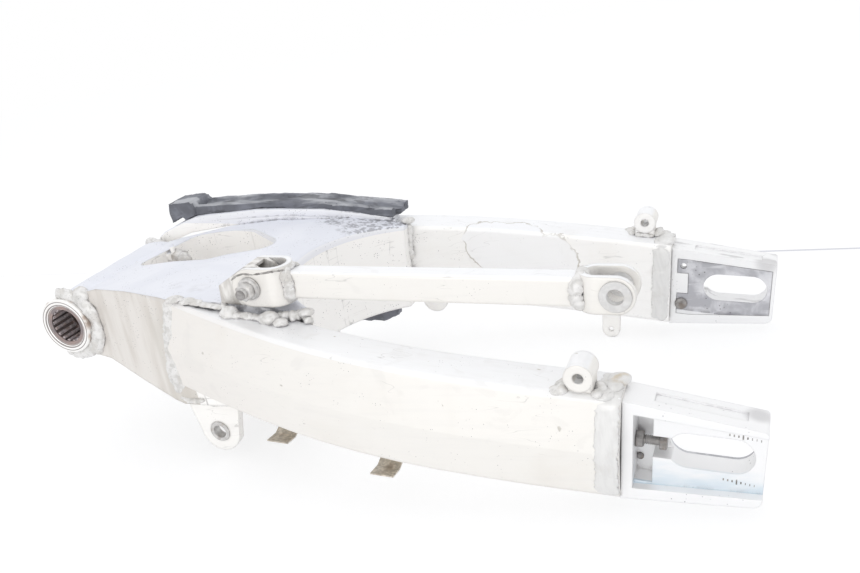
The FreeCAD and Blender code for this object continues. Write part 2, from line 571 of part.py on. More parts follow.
# Tabs for the chain guard under the chain side arm
tab_y = arm_out(TAB_X) - ARM_WIDTH + 4
tab_z = arm_low(TAB_X) - TAB_DROP
tab = rod(TAB_R, tab_y, tab_y + TAB_T, TAB_X, tab_z)
tab = tab.fuse(box(TAB_X - TAB_R, TAB_X + TAB_R, tab_y, tab_y + TAB_T, tab_z, arm_low(TAB_X) + 3))
tab = tab.cut(rod(2.2, 0, 200, TAB_X, tab_z)).cut(arm_sky)
disc_y = arm_out(DISC_X) - ARM_WIDTH + 6
disc = rod(DISC_R, disc_y, disc_y + DISC_T, DISC_X, arm_low(DISC_X) - 1).cut(arm_sky)
save("guard_tab_rear", tab)
save("guard_tab_front", disc)


# Sprung hose clips under the brake side arm: strips bent under and back
def clip(x):
    y = -arm_out(x) + 14
    z = arm_low(x)
    path = [(y - 6, z - 1.2), (y + 12, z - 1.2), (y + 14, z - 3), (y + 12, z - 13), (y + 2, z - 17), (y - 10, z - 15.5)]
    width = CLIP_W
    parts = []
    for (ya, za), (yb, zb) in zip(path, path[1:]):
        d = math.hypot(yb - ya, zb - za)
        ny, nz = -(zb - za) / d * 0.6, (yb - ya) / d * 0.6
        quad = [(x - width / 2, ya + ny, za + nz), (x - width / 2, yb + ny, zb + nz),
                (x - width / 2, yb - ny, zb - nz), (x - width / 2, ya - ny, za - nz)]
        parts.append(face(quad).extrude(V(width, 0, 0)))
        parts.append(rod_x(0.6, x - width / 2, x + width / 2, yb, zb))
    return parts[0].fuse(parts[1:]).removeSplitter().cut(mirror(arm_sky))


save("hose_clip_front", clip(CLIP_FRONT_X))
save("hose_clip_rear", clip(CLIP_REAR_X))

# Grease fitting in the front corner of the window: stub, flange, nut and tip
stub_y, stub_z = 23.0, 27.0
stub_x = 52.0
stub = rod_x(4.6, stub_x - 12, stub_x + 3, stub_y, stub_z)
stub = stub.fuse([rod_x(6.6, stub_x + 2, stub_x + 4.5, stub_y, stub_z),
                  hexagon(9.0, stub_x + 4, stub_x + 9.5, stub_y, stub_z, "x"),
                  rod_x(3.0, stub_x + 9, stub_x + 13, stub_y, stub_z)]).removeSplitter()
stub = stub.cut(cast)
save("grease_fitting", max(stub.Solids, key=lambda s: s.Volume))


# Weld beads: one group for the pivot, one for each seam
def bead(points, r):
    """Chain of round beads along a line of points."""
    parts = []
    for a, b in zip(points, points[1:]):
        a, b = V(*a), V(*b)
        d = b - a
        parts.append(Part.makeCylinder(r, d.Length, a, d))
    parts += [Part.makeSphere(r, V(*p)) for p in points[1:-1]]
    return parts[0].fuse(parts[1:])


ring = Part.makeCone(PIVOT_OD / 2 + 3.6, PIVOT_OD / 2 + 1.5, 4.5, V(0, CAST_FRONT_Y - 1, 0), V(0, 1, 0))
ring = ring.cut(rod(PIVOT_OD / 2, -90, 90)).cut(cast)
ring = max(ring.Solids, key=lambda s: s.Volume)
save("pivot_welds", [ring, mirror(ring)])

sx = SEAM_X - 1
front_top = [(sx - 2, 95.0, 47.0), (sx - 4, 95.5, 20.0), (sx - 8, 95.0, -20.0), (sx - 9, 93.5, -30.0)]
front_bead = bead([(x + 4, y + 1, z) for x, y, z in front_top], 6.0)
front_bead = front_bead.cut(cast).cut(arm_body).cut(box(0, 300, 0, 91, -90, 90))
front_bead = front_bead.cut(lug).cut(slider).cut(rib)
inner_bead = bead([(WING_END, SPLIT_Y - 1, 44), (WING_END, SPLIT_Y - 1, -24)], 4.5)
inner_bead = inner_bead.cut(cast).cut(arm_body)
front_weld = max(front_bead.Solids, key=lambda s: s.Volume)
inner_weld = max(inner_bead.Solids, key=lambda s: s.Volume)
save("front_welds_chain", [front_weld, inner_weld])
save("front_welds_brake", [mirror(front_weld), mirror(inner_weld)])

zt, zb = END_TOP_FRONT + 0.5, END_LOW_FRONT + 2
yo, yi = END_OUT + 0.5, inner + 0.5
rear_bead = box(WELD_X - 5, WELD_X + 3.5, yi - 2.2, yo + 5.5, zb - 3, zt + 3.2)
rear_bead = round_edges(rear_bead, 3.0, lambda e: along_axis(e, V(1, 0, 0)))
end_whole = side(end_side, inner, END_OUT)
rear_bead = rear_bead.cut(arm_body).cut(end_whole).cut(box(0, WELD_X, 0, 200, -60, 60).common(arm_core))
rear_bead = max(rear_bead.Solids, key=lambda s: s.Volume)
save("rear_welds_chain", rear_bead)
save("rear_welds_brake", mirror(rear_bead))
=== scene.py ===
import json
import math

import bmesh
import bpy
from mathutils import Matrix, Vector, noise


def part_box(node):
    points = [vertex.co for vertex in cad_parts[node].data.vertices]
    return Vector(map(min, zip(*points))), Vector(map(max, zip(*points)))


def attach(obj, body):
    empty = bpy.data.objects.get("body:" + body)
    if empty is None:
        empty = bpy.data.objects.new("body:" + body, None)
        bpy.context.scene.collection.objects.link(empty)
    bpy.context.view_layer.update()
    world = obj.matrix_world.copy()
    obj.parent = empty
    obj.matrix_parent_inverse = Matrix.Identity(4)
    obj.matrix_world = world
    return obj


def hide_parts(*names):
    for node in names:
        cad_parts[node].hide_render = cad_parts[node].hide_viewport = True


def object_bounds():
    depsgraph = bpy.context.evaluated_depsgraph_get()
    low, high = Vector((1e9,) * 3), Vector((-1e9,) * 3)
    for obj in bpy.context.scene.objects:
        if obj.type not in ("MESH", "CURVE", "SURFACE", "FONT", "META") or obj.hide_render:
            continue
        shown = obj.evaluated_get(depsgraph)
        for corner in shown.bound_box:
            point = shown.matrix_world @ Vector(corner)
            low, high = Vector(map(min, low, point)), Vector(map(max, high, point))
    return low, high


bl_info = {
    "name": "Swingarm looks",
    "version": (1, 0, 0),
    "blender": (4, 5, 0),
    "location": "3D View > Sidebar > Swingarm",
    "description": "Welds, fastenings, rubber and worn metal for a motorcycle swingarm",
    "category": "Add Mesh",
}

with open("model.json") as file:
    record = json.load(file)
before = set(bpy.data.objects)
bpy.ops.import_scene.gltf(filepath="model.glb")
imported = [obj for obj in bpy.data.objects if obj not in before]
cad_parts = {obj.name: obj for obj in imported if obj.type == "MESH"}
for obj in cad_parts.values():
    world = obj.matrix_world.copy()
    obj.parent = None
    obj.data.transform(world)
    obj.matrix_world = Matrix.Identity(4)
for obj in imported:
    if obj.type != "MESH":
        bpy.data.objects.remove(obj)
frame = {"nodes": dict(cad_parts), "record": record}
CAD_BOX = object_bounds()
NODES = frame["nodes"]
MOUNTS = {m["name"]: Vector(m["pos_m"]) for m in frame["record"]["mounts"]}
SIDES = (("brake", -1), ("chain", 1))
MM = 0.001
DOUBLES = 1e-7
SKIN_GAP = 2e-6
NODE_SHARP = math.radians(30)
PIECE_SHARP = math.radians(40)

# The part lies tipped on its lugs. Places below are level with the pivot, in millimetres.
AXLE = MOUNTS["axle_slot_brake"]
TIP = math.atan2(-AXLE.z, AXLE.x)
LAID_DOWN = Matrix.Rotation(TIP, 4, "Y") @ Matrix.Scale(MM, 4)

# Places of the model, in millimetres, level with the pivot
PIVOT_R = 25.0
WELD_X = 485.0
END_OUT = 140.0
END_IN = 114.7
ADJUSTER_Y = 127.5
POCKET_X = 492.0
SLOT_FRONT = 511.5
BOSS_X = 460.5
BOLT = Vector((216.0, -90.0, 68.5))
BOLT_EYE = Vector((474.5, -90.0, 83.0))
CLEVIS_FACE = BOLT.y - 14.0
WASHER = 1.9
LUG = Vector((159.0, 90.0, -66.0))

# Camera, level with the pivot
CAMERA_AT = Vector((557.99, -605.82, 311.96))
CAMERA_TURN = math.radians(-22.081)
CAMERA_DOWN = math.radians(23.088)
CAMERA_ROLL = math.radians(-4.518)
LENS_SHARE = 900.0 / 860.0
SENSOR = 36.0


def at(x, y, z):
    """A place level with the pivot, in millimetres, as a point of the laid down part."""
    return LAID_DOWN @ Vector((x, y, z))


class Wire:
    """A socket that adds, multiplies and compares as a number does."""

    def __init__(self, finish, socket):
        self.finish = finish
        self.socket = socket

    def maths(self, operation, other, swap=False):
        first, second = (other, self) if swap else (self, other)
        return self.finish.node("ShaderNodeMath", {"operation": operation}, {0: first, 1: second})

    def __add__(self, other):
        return self.maths("ADD", other)

    def __sub__(self, other):
        return self.maths("SUBTRACT", other)

    def __rsub__(self, other):
        return self.maths("SUBTRACT", other, swap=True)

    def __mul__(self, other):
        return self.maths("MULTIPLY", other)

    def __gt__(self, other):
        return self.maths("GREATER_THAN", other)

    def __lt__(self, other):
        return self.maths("LESS_THAN", other)

    __radd__ = __add__
    __rmul__ = __mul__

    def absolute(self):
        return self.maths("ABSOLUTE", 0.0)

    def larger(self, other):
        return self.maths("MAXIMUM", other)

    def between(self, low, high):
        """0 below low, 1 above high, smooth between them."""
        return self.finish.node("ShaderNodeMapRange", {"interpolation_type": "SMOOTHSTEP"},
                                {"Value": self, "From Min": low, "From Max": high})


class Finish:
    """One material, built from patterns on Object coordinates."""

    def __init__(self, name):
        self.material = bpy.data.materials.new(name)
        self.material.use_nodes = True
        self.tree = self.material.node_tree
        self.shader = self.tree.nodes["Principled BSDF"]
        self.place = self.node("ShaderNodeTexCoord", output="Object")
        apart = self.tree.nodes.new("ShaderNodeSeparateXYZ")
        self.tree.links.new(self.place.socket, apart.inputs[0])
        self.x, self.y, self.z = (Wire(self, apart.outputs[i]) for i in range(3))
        way = self.tree.nodes.new("ShaderNodeSeparateXYZ")
        self.tree.links.new(self.place.socket.node.outputs["Normal"], way.inputs[0])
        self.way_y, self.way_z = Wire(self, way.outputs[1]), Wire(self, way.outputs[2])
        self.level_x = self.x * math.cos(TIP) - self.z * math.sin(TIP)
        self.level_z = self.z * math.cos(TIP) + self.x * math.sin(TIP)

    def node(self, kind, settings=None, sockets=None, output=0):
        """Adds a node. Its settings come first, then the values or links of its sockets."""
        made = self.tree.nodes.new(kind)
        for key, value in (settings or {}).items():
            if key == "stops":
                self.fill_ramp(made.color_ramp, value)
            else:
                setattr(made, key, value)
        for key, value in (sockets or {}).items():
            self.feed(made.inputs[key], value)
        return Wire(self, made.outputs[output])

    def fill_ramp(self, ramp, stops):
        for place, colour in stops[2:]:
            ramp.elements.new(place)
        for element, (place, colour) in zip(ramp.elements, stops):
            element.position = place
            element.color = (*colour, 1.0)

    def feed(self, socket, value):
        if isinstance(value, Wire):
            self.tree.links.new(value.socket, socket)
        elif socket.type == "RGBA" and len(value) == 3:
            socket.default_value = (*value, 1.0)
        else:
            socket.default_value = value

    def set(self, **values):
        for key, value in values.items():
            self.feed(self.shader.inputs[key.replace("_", " ").title()], value)

    def stretched(self, sizes, turn=(0.0, 0.0, 0.0)):
        return self.node("ShaderNodeMapping", None, {"Vector": self.place, "Scale": sizes, "Rotation": turn})

    def noise(self, scale, detail=3.0, vector=None, warp=0.0):
        return self.node("ShaderNodeTexNoise", None, {"Vector": vector or self.place, "Scale": scale,
                                                      "Detail": detail, "Distortion": warp})

    def cells(self, scale):
        return self.node("ShaderNodeTexVoronoi", None, {"Vector": self.place, "Scale": scale},
                         output="Distance")

    def specks(self, scale, size, share):
        """Small spots: cells of that scale, kept where a coarse noise is high."""
        spot = 1.0 - self.cells(scale).between(size * 0.6, size)
        return spot * self.noise(scale * 0.15).between(share, share + 0.1)

    def mix(self, factor, first, second):
        mixed = self.node("ShaderNodeMix", {"data_type": "RGBA"}, {"Factor": factor}, output=2)
        node = mixed.socket.node
        self.feed(node.inputs[6], first)
        self.feed(node.inputs[7], second)
        return mixed

    def near(self, point, radius, soft=0.5):
        """1 at a point of the part, 0 beyond the radius."""
        away = self.node("ShaderNodeVectorMath", {"operation": "DISTANCE"}, {0: self.place, 1: tuple(point)},
                         output="Value")
        return 1.0 - away.between(radius * (1.0 - soft), radius)

    def crevice(self, reach):
        """1 deep in a corner, 0 on an open face."""
        open_share = self.node("ShaderNodeAmbientOcclusion", {"samples": 6}, {"Distance": reach},
                               output="AO")
        return 1.0 - open_share

    def bump(self, height, strength, distance, edge=0.0008):
        """Relief over a skin whose sharp edges look rounded by that much."""
        soft = self.node("ShaderNodeBevel", {"samples": 6}, {"Radius": edge})
        normal = self.node("ShaderNodeBump", None, {"Height": height, "Strength": strength,
                                                    "Distance": distance, "Normal": soft})
        self.feed(self.shader.inputs["Normal"], normal)


# Colours as they look under plain light
class SwingarmColours(bpy.types.PropertyGroup):
    """Colours of the finishes"""

    aluminium: bpy.props.FloatVectorProperty(
        name="Aluminium", description="Extruded arms and torque arm", subtype="COLOR", size=3,
        default=(0.885, 0.865, 0.83), min=0.0, max=1.0)
    # Lavender of the casting's upward faces, a painted skylight tint.
    casting: bpy.props.FloatVectorProperty(
        name="Casting", description="Cast cross piece", subtype="COLOR", size=3,
        default=(0.79, 0.805, 0.865), min=0.0, max=1.0)
    stain: bpy.props.FloatVectorProperty(
        name="Stain", description="Brown film on bare metal", subtype="COLOR", size=3,
        default=(0.62, 0.55, 0.46), min=0.0, max=1.0)
    # Grime also gives the colour of the darkening deep in corners, which is grime and painted shade.
    grime: bpy.props.FloatVectorProperty(
        name="Grime", description="Old grease in corners", subtype="COLOR", size=3,
        default=(0.16, 0.155, 0.17), min=0.0, max=1.0)
    weld: bpy.props.FloatVectorProperty(
        name="Weld", description="Weld beads", subtype="COLOR", size=3,
        default=(0.64, 0.63, 0.61), min=0.0, max=1.0)
    steel: bpy.props.FloatVectorProperty(
        name="Steel", description="Fastenings", subtype="COLOR", size=3,
        default=(0.25, 0.24, 0.235), min=0.0, max=1.0)
    spring_steel: bpy.props.FloatVectorProperty(
        name="Spring steel", description="Hose clips", subtype="COLOR", size=3,
        default=(0.50, 0.46, 0.40), min=0.0, max=1.0)
    rubber: bpy.props.FloatVectorProperty(
        name="Rubber", description="Slider and rub strip", subtype="COLOR", size=3,
        default=(0.12, 0.125, 0.145), min=0.0, max=1.0)


class SwingarmSizes(bpy.types.PropertyGroup):
    """Sizes of what is added to the part"""

    pivot_bead: bpy.props.FloatProperty(
        name="Pivot bead", description="Half width of the collar round the pivot tube", default=0.0068,
        unit="LENGTH")
    seam_bead: bpy.props.FloatProperty(
        name="Seam bead", description="Half width of the bands at the arms' front ends", default=0.0082,
        unit="LENGTH")
    end_bead: bpy.props.FloatProperty(
        name="End bead", description="Half width of the bands at the rear ends", default=0.0074,
        unit="LENGTH")
    small_bead: bpy.props.FloatProperty(
        name="Small bead", description="Radius of the beads at brackets and bosses", default=0.0026,
        unit="LENGTH")
    thread_depth: bpy.props.FloatProperty(
        name="Thread depth", description="Depth of the screw threads", default=0.00055, unit="LENGTH")
    thread_pitch: bpy.props.FloatProperty(
        name="Thread pitch", description="Pitch of the screw threads", default=0.00125, unit="LENGTH")
    collar_rise: bpy.props.FloatProperty(
        name="Collar rise", description="How far the casting stands over the pivot tube's middle",
        default=0.0115, unit="LENGTH")
    tick_gap: bpy.props.FloatProperty(
        name="Mark gap", description="Distance between the marks at the axle slots", default=0.0025,
        unit="LENGTH")


FINISHES = {}


def finish_of(name):
    """The material of that name, made when it is first asked for."""
    if name not in FINISHES:
        FINISHES[name] = MAKERS[name]()
    return FINISHES[name]


def colours():
    return bpy.context.scene.swingarm_colours


def sizes():
    return bpy.context.scene.swingarm_sizes


def extruded_aluminium(name="extruded_aluminium", hoop_shade=0.0):
    """Satin arms: faint drawing lines along the length, cream film, specks, and grime with painted shade in
    corners; painted light tints the tops bluish and lightens the far arm's inner face and the low parts,
    and, for hoops, painted shade darkens their insides.
    """
    f = Finish(name)
    c = colours()
    base, stain, grime = tuple(c.aluminium), tuple(c.stain), tuple(c.grime)
    lines = f.noise(260.0, 2.0, f.stretched((0.05, 1.0, 1.0)))
    cloud = f.noise(14.0, 5.0, warp=0.6)
    # Painted skylight: faces turned up are tinted bluish white.
    tint = f.mix(f.way_z.between(0.5, 0.8), base, (0.94, 0.945, 0.96))
    front = (1.0 - f.level_x.between(0.13, 0.30)) * (f.way_y < -0.5) * (f.y < 0.0)
    tint = f.mix(front * 0.30, tint, (0.76, 0.715, 0.68))
    # Painted light: the far arm's inner face, turned towards the front, is lightened against the shade it
    # lies in.
    tint = f.mix((f.y > 0.09) * (f.way_y < -0.5), tint, (0.98, 0.97, 0.955))
    # Painted light: everything low down, the lugs too, is lightened against the shade under the arms.
    tint = f.mix(f.level_z < -0.036, tint, (0.97, 0.955, 0.93))
    tint = f.mix(cloud.between(0.5, 0.8) * 0.16, tint, stain)
    tint = f.mix(lines.between(0.45, 0.75) * 0.10, tint, (0.72, 0.71, 0.70))
    film = f.noise(34.0, 6.0, warp=1.2).between(0.58, 0.66) * 0.12
    tint = f.mix(film, tint, (0.66, 0.64, 0.62))
    spots = f.specks(420.0, 0.15, 0.54)
    tint = f.mix(spots * 0.6, tint, grime)
    marks = f.noise(70.0, 2.0, f.stretched((0.22, 1.0, 1.5), (0.0, 0.5, 0.3)))
    scratches = marks.between(0.495, 0.5) * (1.0 - marks.between(0.503, 0.508))
    scratches = scratches * f.noise(22.0).between(0.55, 0.62)
    tint = f.mix(scratches * 0.4, tint, (0.45, 0.44, 0.43))
    gouge = f.near(at(282.5, -139.0, 27.5), 0.0024, 0.4).larger(f.near(at(284.5, -139.5, 24.0), 0.0019, 0.4))
    patch = f.near(at(328, 112, 30), 0.030, 0.5).larger(f.near(at(352, 112, 24), 0.036, 0.5))
    patch = patch.larger(f.near(at(380, 113, 12), 0.034, 0.5)) * (f.y > 0.09)
    ragged = patch + f.noise(75.0, 7.0, warp=0.6) * 1.5 - 0.75
    inside = ragged.between(0.30, 0.36)
    rim = inside * (1.0 - ragged.between(0.42, 0.50)) * f.noise(26.0, 3.0).between(0.38, 0.50)
    tint = f.mix(inside * 0.4, tint, (0.93, 0.94, 0.97))
    tint = f.mix(rim * 0.75, tint, (0.50, 0.46, 0.40))
    tint = f.mix(gouge * 0.8, tint, (0.25, 0.24, 0.23))
    # Darker deep in corners, broken up by noise: grime and painted shade.
    corner = f.crevice(0.007)
    grime_and_shade = (corner * f.noise(140.0, 5.0).between(0.35, 0.7)).between(0.25, 0.6)
    # Painted shade: deep inside a hoop the colour turns dark blue-grey.
    if hoop_shade:
        tint = f.mix(f.crevice(0.022).between(0.42, 0.74) * hoop_shade, tint, (0.20, 0.20, 0.23))
    f.set(base_color=f.mix(grime_and_shade * 0.6, tint, grime), metallic=0.35, roughness=0.36 + cloud * 0.14)
    f.bump(lines * 0.3 + f.noise(900.0, 2.0) * 0.3 - gouge * 3.0 - scratches, 0.25, 0.0002, 0.002)
    return f.material


def hoop_aluminium():
    """The torque arm's clevises, with painted shade inside their hoops."""
    return extruded_aluminium("hoop_aluminium", 0.8)


def bracket_aluminium():
    """The torque arm's bracket: duller than the arms, with dark streaks of old dirt that also paint in the
    shade it stands in, and grime with painted shade in its corners.
    """
    f = Finish("bracket_aluminium")
    streak = f.noise(170.0, 5.0, f.stretched((1.0, 1.0, 0.3)), warp=0.4)
    # Dark streaks: old dirt, and painted shade that greys the bracket.
    tint = f.mix(streak.between(0.40, 0.66), (0.86, 0.845, 0.82), (0.60, 0.575, 0.545))
    tint = f.mix(f.specks(420.0, 0.2, 0.48) * 0.6, tint, tuple(colours().grime))
    # Darker deep in corners and along the cheeks' edges, broken up by noise: grime and painted shade.
    grime_and_shade = (f.crevice(0.010) * f.noise(150.0, 5.0).between(0.3, 0.6)).between(0.12, 0.5)
    f.set(base_color=f.mix(grime_and_shade * 0.75, tint, (0.26, 0.24, 0.22)), metallic=0.25,
          roughness=0.40 + streak * 0.15)
    f.bump(streak, 0.3, 0.0003, 0.001)
    return f.material


def cast_aluminium():
    """Sand cast skin: painted light makes the tops lavender and the walls a light cream against their shade;
    hairline cracks on the walls, a streaky outer face, a painted step shadow on top, and grime with painted
    shade in corners.
    """
    f = Finish("cast_aluminium")
    c = colours()
    base, grime = tuple(c.casting), tuple(c.grime)
    cloud = f.noise(20.0, 6.0, warp=0.8)
    fine = f.noise(700.0, 3.0)
    top = f.way_z.between(0.35, 0.75)
    outer = (f.way_y < -0.6) * (f.x < 0.142) * (f.y < -0.05)
    wall = (1.0 - f.way_z.between(0.2, 0.5)) * (1.0 - outer) * (f.level_z < 0.0455)
    # Painted light: faces turned up take the lavender casting colour as skylight tints them, upright faces
    # low down a light cream that offsets the shade they stand in, and upright faces above the casting's top
    # a lavender grey.
    tint = f.mix(top, (0.98, 0.965, 0.945), base)
    tint = f.mix((f.level_z > 0.0455) * (1.0 - top), tint, (0.86, 0.865, 0.90))
    tint = f.mix(cloud.between(0.4, 0.75) * top * 0.4, tint, (0.92, 0.93, 0.97))
    worn = f.noise(30.0, 4.0, f.stretched((2.4, 1.0, 0.5))).between(0.38, 0.72)
    tint = f.mix(outer * (0.62 + worn * 0.33), tint, (0.66, 0.62, 0.575))
    band = outer * f.x.between(0.106, 0.112) * (1.0 - f.z.between(0.0, 0.03))
    tint = f.mix(band * 0.5, tint, (0.60, 0.57, 0.52))
    spots = f.specks(420.0, 0.2, 0.48)
    tint = f.mix(spots * 0.65, tint, grime)
    smear = f.near(at(226, 84, 50), 0.050, 0.8).larger(f.near(at(246, 96, 50), 0.034, 0.7))
    smear = smear.larger(f.near(at(190, 92, 51), 0.030, 0.8))
    grains = f.noise(420.0, 6.0, f.stretched((0.6, 1.0, 1.0)), warp=0.3) * 0.6 + f.noise(95.0, 4.0) * 0.5
    dark = (smear * top * 1.1 * grains.between(0.46, 0.66)).between(0.12, 0.85)
    tint = f.mix(dark * 0.75, tint, (0.30, 0.30, 0.33))
    # Painted shadow of the step where the casting's top meets the arm: a broken dark line.
    step_shadow = f.near(at(128, -71, 45), 0.012, 0.9).larger(f.near(at(150, -75, 45), 0.014, 0.9))
    step_shadow = step_shadow.larger(f.near(at(172, -79, 45), 0.012, 0.9)) * top
    tint = f.mix((step_shadow * f.noise(120.0, 5.0).between(0.4, 0.6)) * 0.35, tint, (0.45, 0.44, 0.46))
    upright = f.stretched((1.0, 1.0, 0.02))
    waves = f.noise(62.0, 3.0, upright)
    cracks = waves.between(0.487, 0.492) * (1.0 - waves.between(0.498, 0.503))
    flat = f.noise(46.0, 3.0, f.stretched((0.10, 0.10, 1.7)))
    rows = flat.between(0.492, 0.496) * (1.0 - flat.between(0.500, 0.504))
    broken = f.noise(42.0, 5.0).between(0.50, 0.60)
    tint = f.mix(wall * broken * cracks.larger(rows * 0.7) * 0.5, tint, (0.34, 0.33, 0.33))
    rubbed = f.near(at(150, 60, 30), 0.06, 0.9) * f.noise(190.0, 6.0, upright).between(0.56, 0.66)
    tint = f.mix(wall * rubbed * 0.5, tint, (0.42, 0.40, 0.38))
    # Darker deep in corners, broken up by noise: grime and painted shade.
    corner = f.crevice(0.008)
    grime_and_shade = (corner * f.noise(160.0, 5.0).between(0.35, 0.65)).between(0.25, 0.55)
    f.set(base_color=f.mix(grime_and_shade * 0.6, tint, grime), metallic=0.22, roughness=0.44 + fine * 0.16)
    f.bump(fine * 0.7 + f.noise(160.0, 3.0) * 0.6 - spots * 0.6, 0.35, 0.0003, 0.003)
    return f.material


def forged_aluminium():
    """Rear ends: milled and satin, streaks along the length, dark smudges at the tail, a bluish web."""
    f = Finish("forged_aluminium")
    c = colours()
    grime = tuple(c.grime)
    lines = f.noise(300.0, 3.0, f.stretched((0.06, 1.0, 1.0)))
    cloud = f.noise(38.0, 5.0, f.stretched((0.5, 1.0, 1.0)), warp=0.7)
    tint = f.mix(cloud.between(0.5, 0.8) * 0.3, (0.93, 0.93, 0.935), (0.82, 0.82, 0.84))
    web = (f.y < -0.1315) * (f.y > -0.134) * (1.0 - (f.z + f.x * 0.134).between(-0.017, -0.007))
    tint = f.mix(web * f.noise(30.0, 4.0, f.stretched((0.5, 1.0, 2.0))).between(0.3, 0.6), tint,
                 (0.70, 0.79, 0.86))
    tail = f.near(at(562, -122, 24), 0.013, 0.8).larger(f.near(at(560, 118, 24), 0.016, 0.8))
    streak = f.noise(120.0, 5.0, f.stretched((0.25, 1.0, 1.0))).between(0.5, 0.66)
    top_far = (f.y > 0.1) * (f.way_z > 0.5)
    dark = (tail * 0.8 + top_far * streak * 0.8).between(0.1, 0.9)
    tint = f.mix(dark * 0.5, tint, (0.42, 0.41, 0.42))
    tint = f.mix(f.specks(300.0, 0.15, 0.55) * 0.6, tint, grime)
    # Darker deep in corners, broken up by noise: grime and painted shade.
    corner = f.crevice(0.006)
    grime_and_shade = (corner * f.noise(120.0, 6.0).between(0.3, 0.62)).between(0.3, 0.75)
    tint = f.mix(grime_and_shade * 0.5, tint, (0.36, 0.34, 0.34))
    f.set(base_color=tint, metallic=0.3, roughness=0.30 + cloud * 0.18)
    f.bump(lines * 0.5 + f.noise(500.0, 2.0) * 0.3, 0.25, 0.0002, 0.001)
    return f.material


def weld_metal():
    """Bead metal: bright crowns, grey skin, and dark pits and grime with painted shade at the toes."""
    f = Finish("weld_metal")
    c = colours()
    skin = f.noise(220.0, 5.0, warp=0.6)
    tint = f.mix(skin.between(0.35, 0.6), tuple(c.weld), (0.80, 0.79, 0.78))
    tint = f.mix(f.noise(95.0, 5.0, warp=0.7).between(0.52, 0.68) * 0.45, tint, (0.60, 0.57, 0.53))
    rust = f.near(at(486, -124, 37), 0.012, 0.7) * f.noise(130.0, 3.0).between(0.4, 0.6)
    tint = f.mix(rust * 0.55, tint, (0.62, 0.47, 0.30))
    pits = f.specks(520.0, 0.22, 0.45)
    # Darker deep at the toes, broken up by noise: grime and painted shade, joined by the dark pits.
    corner = f.crevice(0.004)
    grime_and_shade = (corner * f.noise(200.0, 4.0).between(0.25, 0.6)).between(0.2, 0.6)
    tint = f.mix(grime_and_shade.larger(pits * 0.7) * 0.62, tint, tuple(c.grime))
    f.set(base_color=tint, metallic=0.25, roughness=0.34 + skin * 0.2)
    f.bump(f.noise(650.0, 4.0) + skin - pits, 0.4, 0.0004)
    return f.material


def ground_weld():
    """Weld ground flush: brushed on the slant, with a few grey patches left and painted shade in its
    corners.
    """
    f = Finish("ground_weld")
    brush = f.noise(330.0, 3.0, f.stretched((1.0, 1.0, 0.16), (0.0, 0.62, 0.0)))
    skin = f.noise(75.0, 5.0, warp=0.5)
    tint = f.mix(brush.between(0.4, 0.66) * 0.3, (0.80, 0.795, 0.785), (0.64, 0.635, 0.63))
    tint = f.mix(skin.between(0.52, 0.66) * 0.3, tint, (0.66, 0.64, 0.61))
    rust = f.near(at(481, -122, 38), 0.010, 0.7) * f.noise(130.0, 3.0).between(0.4, 0.6)
    tint = f.mix(rust * 0.6, tint, (0.62, 0.50, 0.33))
    # Painted shade: darker deep in corners.
    corner = f.crevice(0.004).between(0.3, 0.7)
    f.set(base_color=f.mix(corner * 0.45, tint, (0.38, 0.36, 0.35)), metallic=0.3,
          roughness=0.34 + skin * 0.2)
    f.bump(brush + skin, 0.3, 0.0003, 0.001)
    return f.material


def steel(name, colour, warm, roughness, rusty=0.5, bright=1.6):
    """Plain steel: cloudy, with warm patches and painted shade darkening its corners."""
    f = Finish(name)
    skin = f.noise(300.0, 5.0, warp=0.5)
    tint = f.mix(skin.between(0.35, 0.7), colour, tuple(min(1.0, v * bright) for v in colour))
    tint = f.mix(f.noise(140.0, 4.0).between(0.5, 0.68) * rusty, tint, warm)
    # Painted shade: near black deep in corners.
    corner = f.crevice(0.003)
    tint = f.mix(corner.between(0.3, 0.7) * 0.6, tint, (0.06, 0.055, 0.055))
    f.set(base_color=tint, metallic=0.5, roughness=roughness + skin * 0.2)
    f.bump(skin + f.noise(1200.0, 2.0) * 0.5, 0.2, 0.0002)
    return f.material


def tarnished_steel():
    return steel("tarnished_steel", tuple(colours().steel), (0.22, 0.17, 0.13), 0.34)


def spring_steel():
    return steel("spring_steel", tuple(colours().spring_steel), (0.30, 0.22, 0.15), 0.32, 0.45)


def bright_steel():
    return steel("bright_steel", (0.56, 0.55, 0.54), (0.40, 0.35, 0.30), 0.28, 0.5, 1.3)


def turned_steel():
    return steel("turned_steel", (0.66, 0.655, 0.65), (0.55, 0.52, 0.48), 0.34, 0.25, 1.12)


def bearing_steel():
    return steel("bearing_steel", (0.58, 0.53, 0.54), (0.62, 0.44, 0.36), 0.30, 0.5)


def bearing_cup_steel():
    """Cup of the needle bearing: a bright rim line round a brown, greasy inside."""
    f = Finish("bearing_cup_steel")
    away = f.node("ShaderNodeVectorMath", {"operation": "LENGTH"},
                  {0: f.node("ShaderNodeCombineXYZ", None, {0: f.x, 1: f.z})}, output="Value")
    cloud = f.noise(90.0, 5.0)
    brown = f.mix(cloud.between(0.35, 0.65), (0.26, 0.225, 0.23), (0.38, 0.29, 0.265))
    f.set(base_color=f.mix(away.between(0.0179, 0.0182), brown, (0.70, 0.66, 0.64)), metallic=0.3,
          roughness=0.32 + cloud * 0.2)
    f.bump(cloud, 0.2, 0.0002, 0.0003)
    return f.material


